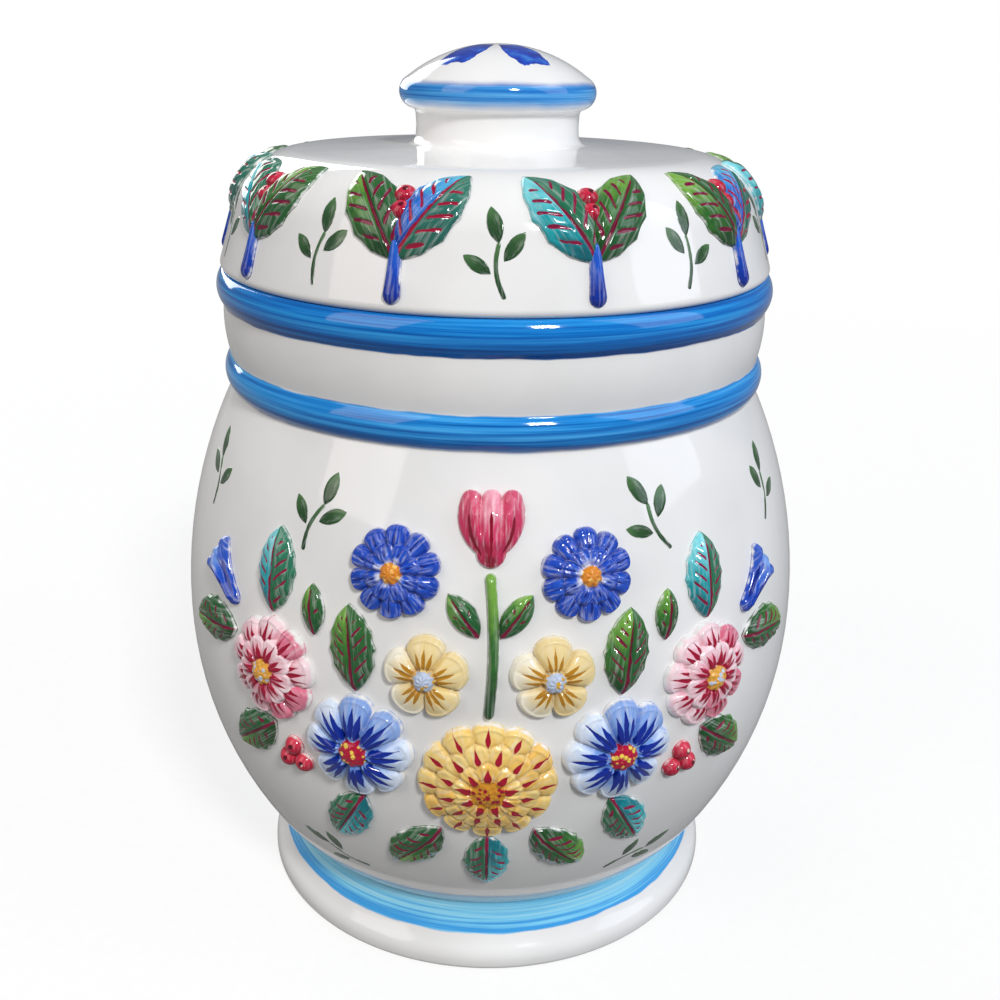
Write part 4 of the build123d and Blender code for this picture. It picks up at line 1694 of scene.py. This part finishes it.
@dataclass
class LidGarland:
    """Ring of sprigs over the lid's shoulder, each two leaves and two berries on a stalk, in mm.

    A size in a pair is a length and a width.
    """

    skin: LidSkin = LidSkin()
    count: int = 10
    lean: float = 30.0
    drop: float = 11.0
    leaf: Point = (28.0, 15.0)
    spread: float = 31.0
    relief: float = 2.4
    stalk: Point = (12.6, 4.6)
    berry_radius: float = 2.8
    berry_rise: float = 12.0
    berries_apart: float = 1.6
    stalk_girth: float = 0.72
    stalk_flare: float = 0.14
    stalk_relief: float = 0.8
    stalk_tuck: float = 2.0
    stalk_short: float = 1.0

    def build(self) -> None:
        """Press, paint and lute the sprigs."""
        lean = radians(self.lean)
        length, width = self.stalk
        shape = {"swell": 0.55, "relief": self.relief, "teeth": 5, "veins": 4.2, "vein_width": 0.42}
        girth, flare = width * self.stalk_girth, width * self.stalk_flare
        relief = self.relief * self.stalk_relief
        stalk = Stem(length=length - self.stalk_short, width=girth, flare=flare, relief=relief)
        berry = Berry(radius=self.berry_radius, relief=self.relief)
        for index in range(self.count):
            turn = (index + 0.5) * 360 / self.count
            root = Place.on(self.skin, turn, self.skin.at(lean), lean).moved(0, -self.drop)
            sprig = SprigPiece(f"lid_sprig_{index + 1:02d}")
            slips = (Slip.BLUE_LEAF, Slip.GREEN) if index % 2 else (Slip.GREEN, Slip.TEAL)
            for spread, slip in zip((-self.spread, self.spread), slips):
                leaf = Leaf(*self.leaf, **shape, seed=index + 30)
                sprig.press(leaf, root.moved(0, 0, spread), slip)
            sprig.press(stalk, root.moved(0, width / 2 - length + self.stalk_tuck), Slip.STALK)
            upper = self.berry_rise + self.berry_radius * self.berries_apart
            for rise in (self.berry_rise, upper):
                sprig.press(berry, root.moved(0, rise), Slip.CRIMSON)
            sprig.finish("lid", "teal_glaze", sprig.name)


@dataclass
class Brushwork:
    """Flat green sprigs of three leaves, painted with a few strokes of the brush, in mm.

    The leaf's pair is a length and a width, the pairs of sizes and drops are for the belly and
    for the lid, and a spot on the belly is a turn round the jar, a height and a tilt.
    """

    belly: BellySkin = BellySkin()
    lid: LidSkin = LidSkin()
    thickness: float = 0.07
    depth: float = 0.15
    stem: float = 17.0
    leaf: Point = (7.8, 3.3)
    sizes: Point = (1.15, 1.12)
    drops: Point = (8.0, 14.5)
    stem_share: float = 0.66
    stem_bow: float = 1.1
    top_leaf: tuple[float, ...] = (0.1, 0.67, 1.08, 6)
    low_leaf: tuple[float, ...] = (2.5, 0.3, 0.95, -50)
    far_leaf: tuple[float, ...] = (-0.9, 0.44, 1.02, 42)
    lid_count: int = 10
    lid_turn: float = 1.5
    lid_tilt: float = 6.0
    belly_spots: tuple[Spot, ...] = (
        (29, 152, 24), (60, 149, -14), (30, 42, -70), (78, 52, -30), (91, 128, 14), (92, 84, -22),
        (-31, 150, -20), (-62, 150, 10), (-30, 42, 64), (-77, 56, 28),
    )

    def sprig(self, piece: SprigPiece, place: Place, size: float, mirror: int) -> None:
        """Paint one sprig of three leaves.

        Args:
            piece: Piece that it joins.
            place: Plane with its foot at the origin.
            size: Scale of the sprig.
            mirror: 1 or -1, the side of its lowest leaf.
        """
        thin = {"rings": 5, "relief": self.thickness}
        flat = thin | {"floor": 1.0, "wave": 0.0, "halves": False, "veins": 0.0}
        tall, (length, width) = self.stem * size, self.leaf
        bow = self.stem_bow * mirror * size
        stem = Stem(tall * self.stem_share, size, flare=0.1, bow=bow, **thin)
        piece.press(stem, place, Slip.FLAT_GREEN)
        # Each leaf: place aside, share of the way up, size and turn; the top one isn't mirrored
        leaves = ((1, self.top_leaf), (mirror, self.low_leaf), (mirror, self.far_leaf))
        for flip, (aside, rise, share, turn) in leaves:
            leaf = Leaf(length * size * share, width * size * share, **flat)
            spot = place.moved(aside * flip, tall * rise, turn * flip)
            piece.press(leaf, spot, Slip.FLAT_GREEN)

    def build(self) -> None:
        """Paint the sprigs on the belly and on the lid."""
        belly = SprigPiece("brushed_sprigs_belly", self.depth)
        for number, (turn, height, tilt) in enumerate(self.belly_spots):
            point, lean = self.belly.foot(height)
            for back in (0, 180):
                place = Place.on(self.belly, turn + back, point, lean).moved(0, 0, tilt)
                mirror = 1 if number % 2 else -1
                self.sprig(belly, place.moved(0, -self.drops[0]), self.sizes[0], mirror)
        belly.finish("jar", "green_glaze")
        lid = SprigPiece("brushed_sprigs_lid", self.depth)
        side, _ = self.lid.leans()
        for number in range(self.lid_count):
            turn = number * 360 / self.lid_count + self.lid_turn
            place = Place.on(self.lid, turn, self.lid.at(side), side)
            place = place.moved(0, -self.drops[1], self.lid_tilt * (-1) ** number)
            self.sprig(lid, place, self.sizes[1], 1 if number % 3 else -1)
        lid.finish("lid", "green_glaze")


@dataclass(frozen=True)
class PaperFloor(Finish):
    """White studio paper: matt, with the faint cloud of pulp fibres, white behind the jar."""

    name: str = "white_studio_paper"
    sheet: str = "#F4F4F3"
    fibre: str = "#EFEFEE"
    cloud: float = 4.0
    bounce: str = "#787877"
    lift: float = 0.78
    mirrored: float = 0.2
    near: float = 0.25
    far: float = 1.1

    def shader(self, node: Callable, coords: Any) -> bpy.types.Node:
        """Paper that turns to plain white with the distance from the jar, in metres.

        Args:
            node: Adds a node to the material.
            coords: Socket with the object's coordinates in metres.

        Returns:
            Last node of the shader.
        """
        fibres = node("TexNoise", coords, 1 / (self.cloud * MM), 4.0)
        paper = node("ValToRGB", fibres, stops=[(0.35, self.fibre), (0.65, self.sheet)])
        rays = node("LightPath").outputs
        colour = node("Mix", rays["Is Camera Ray"], self.bounce, paper, data_type="RGBA")
        glossy, clear = rays["Is Glossy Ray"], rays["Is Transmission Ray"]
        mirror = node("Math", glossy, clear, operation="MAXIMUM")
        mirror = node("Math", mirror, self.mirrored, operation="MULTIPLY")
        seen = node("Math", rays["Is Camera Ray"], mirror, operation="MAXIMUM")
        away = node("VectorMath", coords, operation="LENGTH")
        lift = node("MapRange", away, self.near, self.far, self.lift, 1.0)
        share = node("Math", seen, lift, operation="MULTIPLY")
        matt, glow = node("BsdfDiffuse", colour, 0.6), node("Emission", WHITE, 1.0)
        return node("MixShader", share, matt, glow)


@dataclass(frozen=True)
class Lamp:
    """Softbox: place and target in metres, size in metres, power in watts."""

    name: str
    at: Spot
    towards: Spot
    size: Point
    power: float
    tint: str = "#FFFFFF"

    def build(self) -> None:
        """Hang the lamp and aim it."""
        light = bpy.data.lights.new(self.name, "AREA")
        light.shape, light.energy, light.color = "RECTANGLE", self.power, linear(self.tint)[:3]
        light.size, light.size_y = self.size
        stand = bpy.data.objects.new(self.name, light)
        stand.location = self.at
        aim = Vector(self.towards) - Vector(self.at)
        stand.rotation_euler = aim.to_track_quat("-Z", "Y").to_euler()
        bpy.context.scene.collection.objects.link(stand)


@dataclass
class Studio:
    """Paper floor, softboxes, world and the camera of the photograph."""

    floor_reach: float = 4.0
    fill: float = 0.26
    mirrored: float = 0.22
    sky: str = "#EEF4FF"
    camera_at: Spot = (0.0, -0.3654, 0.2686)
    lens: float = 42.55
    sensor: float = 36.0
    pitch: float = 68.82
    yaw: float = -0.42
    roll: float = 0.99
    lamps: tuple[Lamp, ...] = (
        Lamp("key_softbox", (0.861, -2.13, 2.05), (0.0, 0.0, 0.12), (0.45, 0.45), 51.0),
        Lamp("left_softbox", (-1.0, -0.75, 1.0), (0.0, 0.0, 0.14), (0.8, 1.2), 6.6, "#FFF6EC"),
        Lamp("right_softbox", (1.15, -0.35, 0.95), (0.0, 0.0, 0.16), (0.8, 1.2), 6.6, "#E6F0FF"),
        Lamp("back_softbox", (-0.9, 1.3, 0.8), (0.0, 0.0, 0.14), (1.0, 1.0), 14.0),
    )

    def build(self) -> None:
        """Set up the studio round the jar."""
        scene = bpy.context.scene
        scene.view_settings.view_transform = "Standard"
        reach = self.floor_reach
        corners = [(-reach, -reach, 0), (reach, -reach, 0), (reach, reach, 0), (-reach, reach, 0)]
        sheet = bpy.data.meshes.new("studio_floor")
        sheet.from_pydata(corners, [], [(0, 1, 2, 3)])
        sheet.materials.append(PaperFloor().material())
        floor = bpy.data.objects.new("studio_floor", sheet)
        scene.collection.objects.link(floor)
        for lamp in self.lamps:
            lamp.build()
        self._world()
        self._camera()

    def _world(self) -> None:
        """Even white room: bright where it is seen or mirrored, softer as light."""
        world = bpy.data.worlds.new("white_room")
        bpy.context.scene.world = world
        world.use_nodes = True
        world.node_tree.nodes.clear()
        node = partial(add_node, world.node_tree)
        rays = node("LightPath").outputs
        glossy, clear = rays["Is Glossy Ray"], rays["Is Transmission Ray"]
        mirror = node("Math", glossy, clear, operation="MAXIMUM")
        lit = node("MapRange", mirror, 0.0, 1.0, self.fill, self.mirrored)
        strength = node("Math", rays["Is Camera Ray"], lit, operation="MAXIMUM")
        tint = node("Mix", rays["Is Camera Ray"], self.sky, WHITE, data_type="RGBA")
        node("OutputWorld", node("Background", tint, strength))

    def _camera(self) -> None:
        """Camera at the photograph's viewing angle."""
        data = bpy.data.cameras.new("photo_camera")
        data.lens, data.sensor_width = self.lens, self.sensor
        camera = bpy.data.objects.new("photo_camera", data)
        turns = ((self.yaw, "Z"), (self.pitch, "X"), (self.roll, "Z"))
        turn, tilt, twist = (Matrix.Rotation(radians(angle), 4, axis) for angle, axis in turns)
        camera.matrix_world = Matrix.Translation(self.camera_at) @ turn @ tilt @ twist
        bpy.context.scene.collection.objects.link(camera)
        bpy.context.scene.camera = camera


def main() -> None:
    """Build every piece in order, dress it and light it."""
    logging.basicConfig(level=logging.INFO, format="%(name)s %(message)s")
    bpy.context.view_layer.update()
    lid = Lid()
    Pot().build()
    lid.build()
    lid.build_knob()
    for back in (False, True):
        Swag(back).build()
    LidGarland().build()
    Brushwork().build()
    Studio().build()


if __name__ == "__main__":
    main()
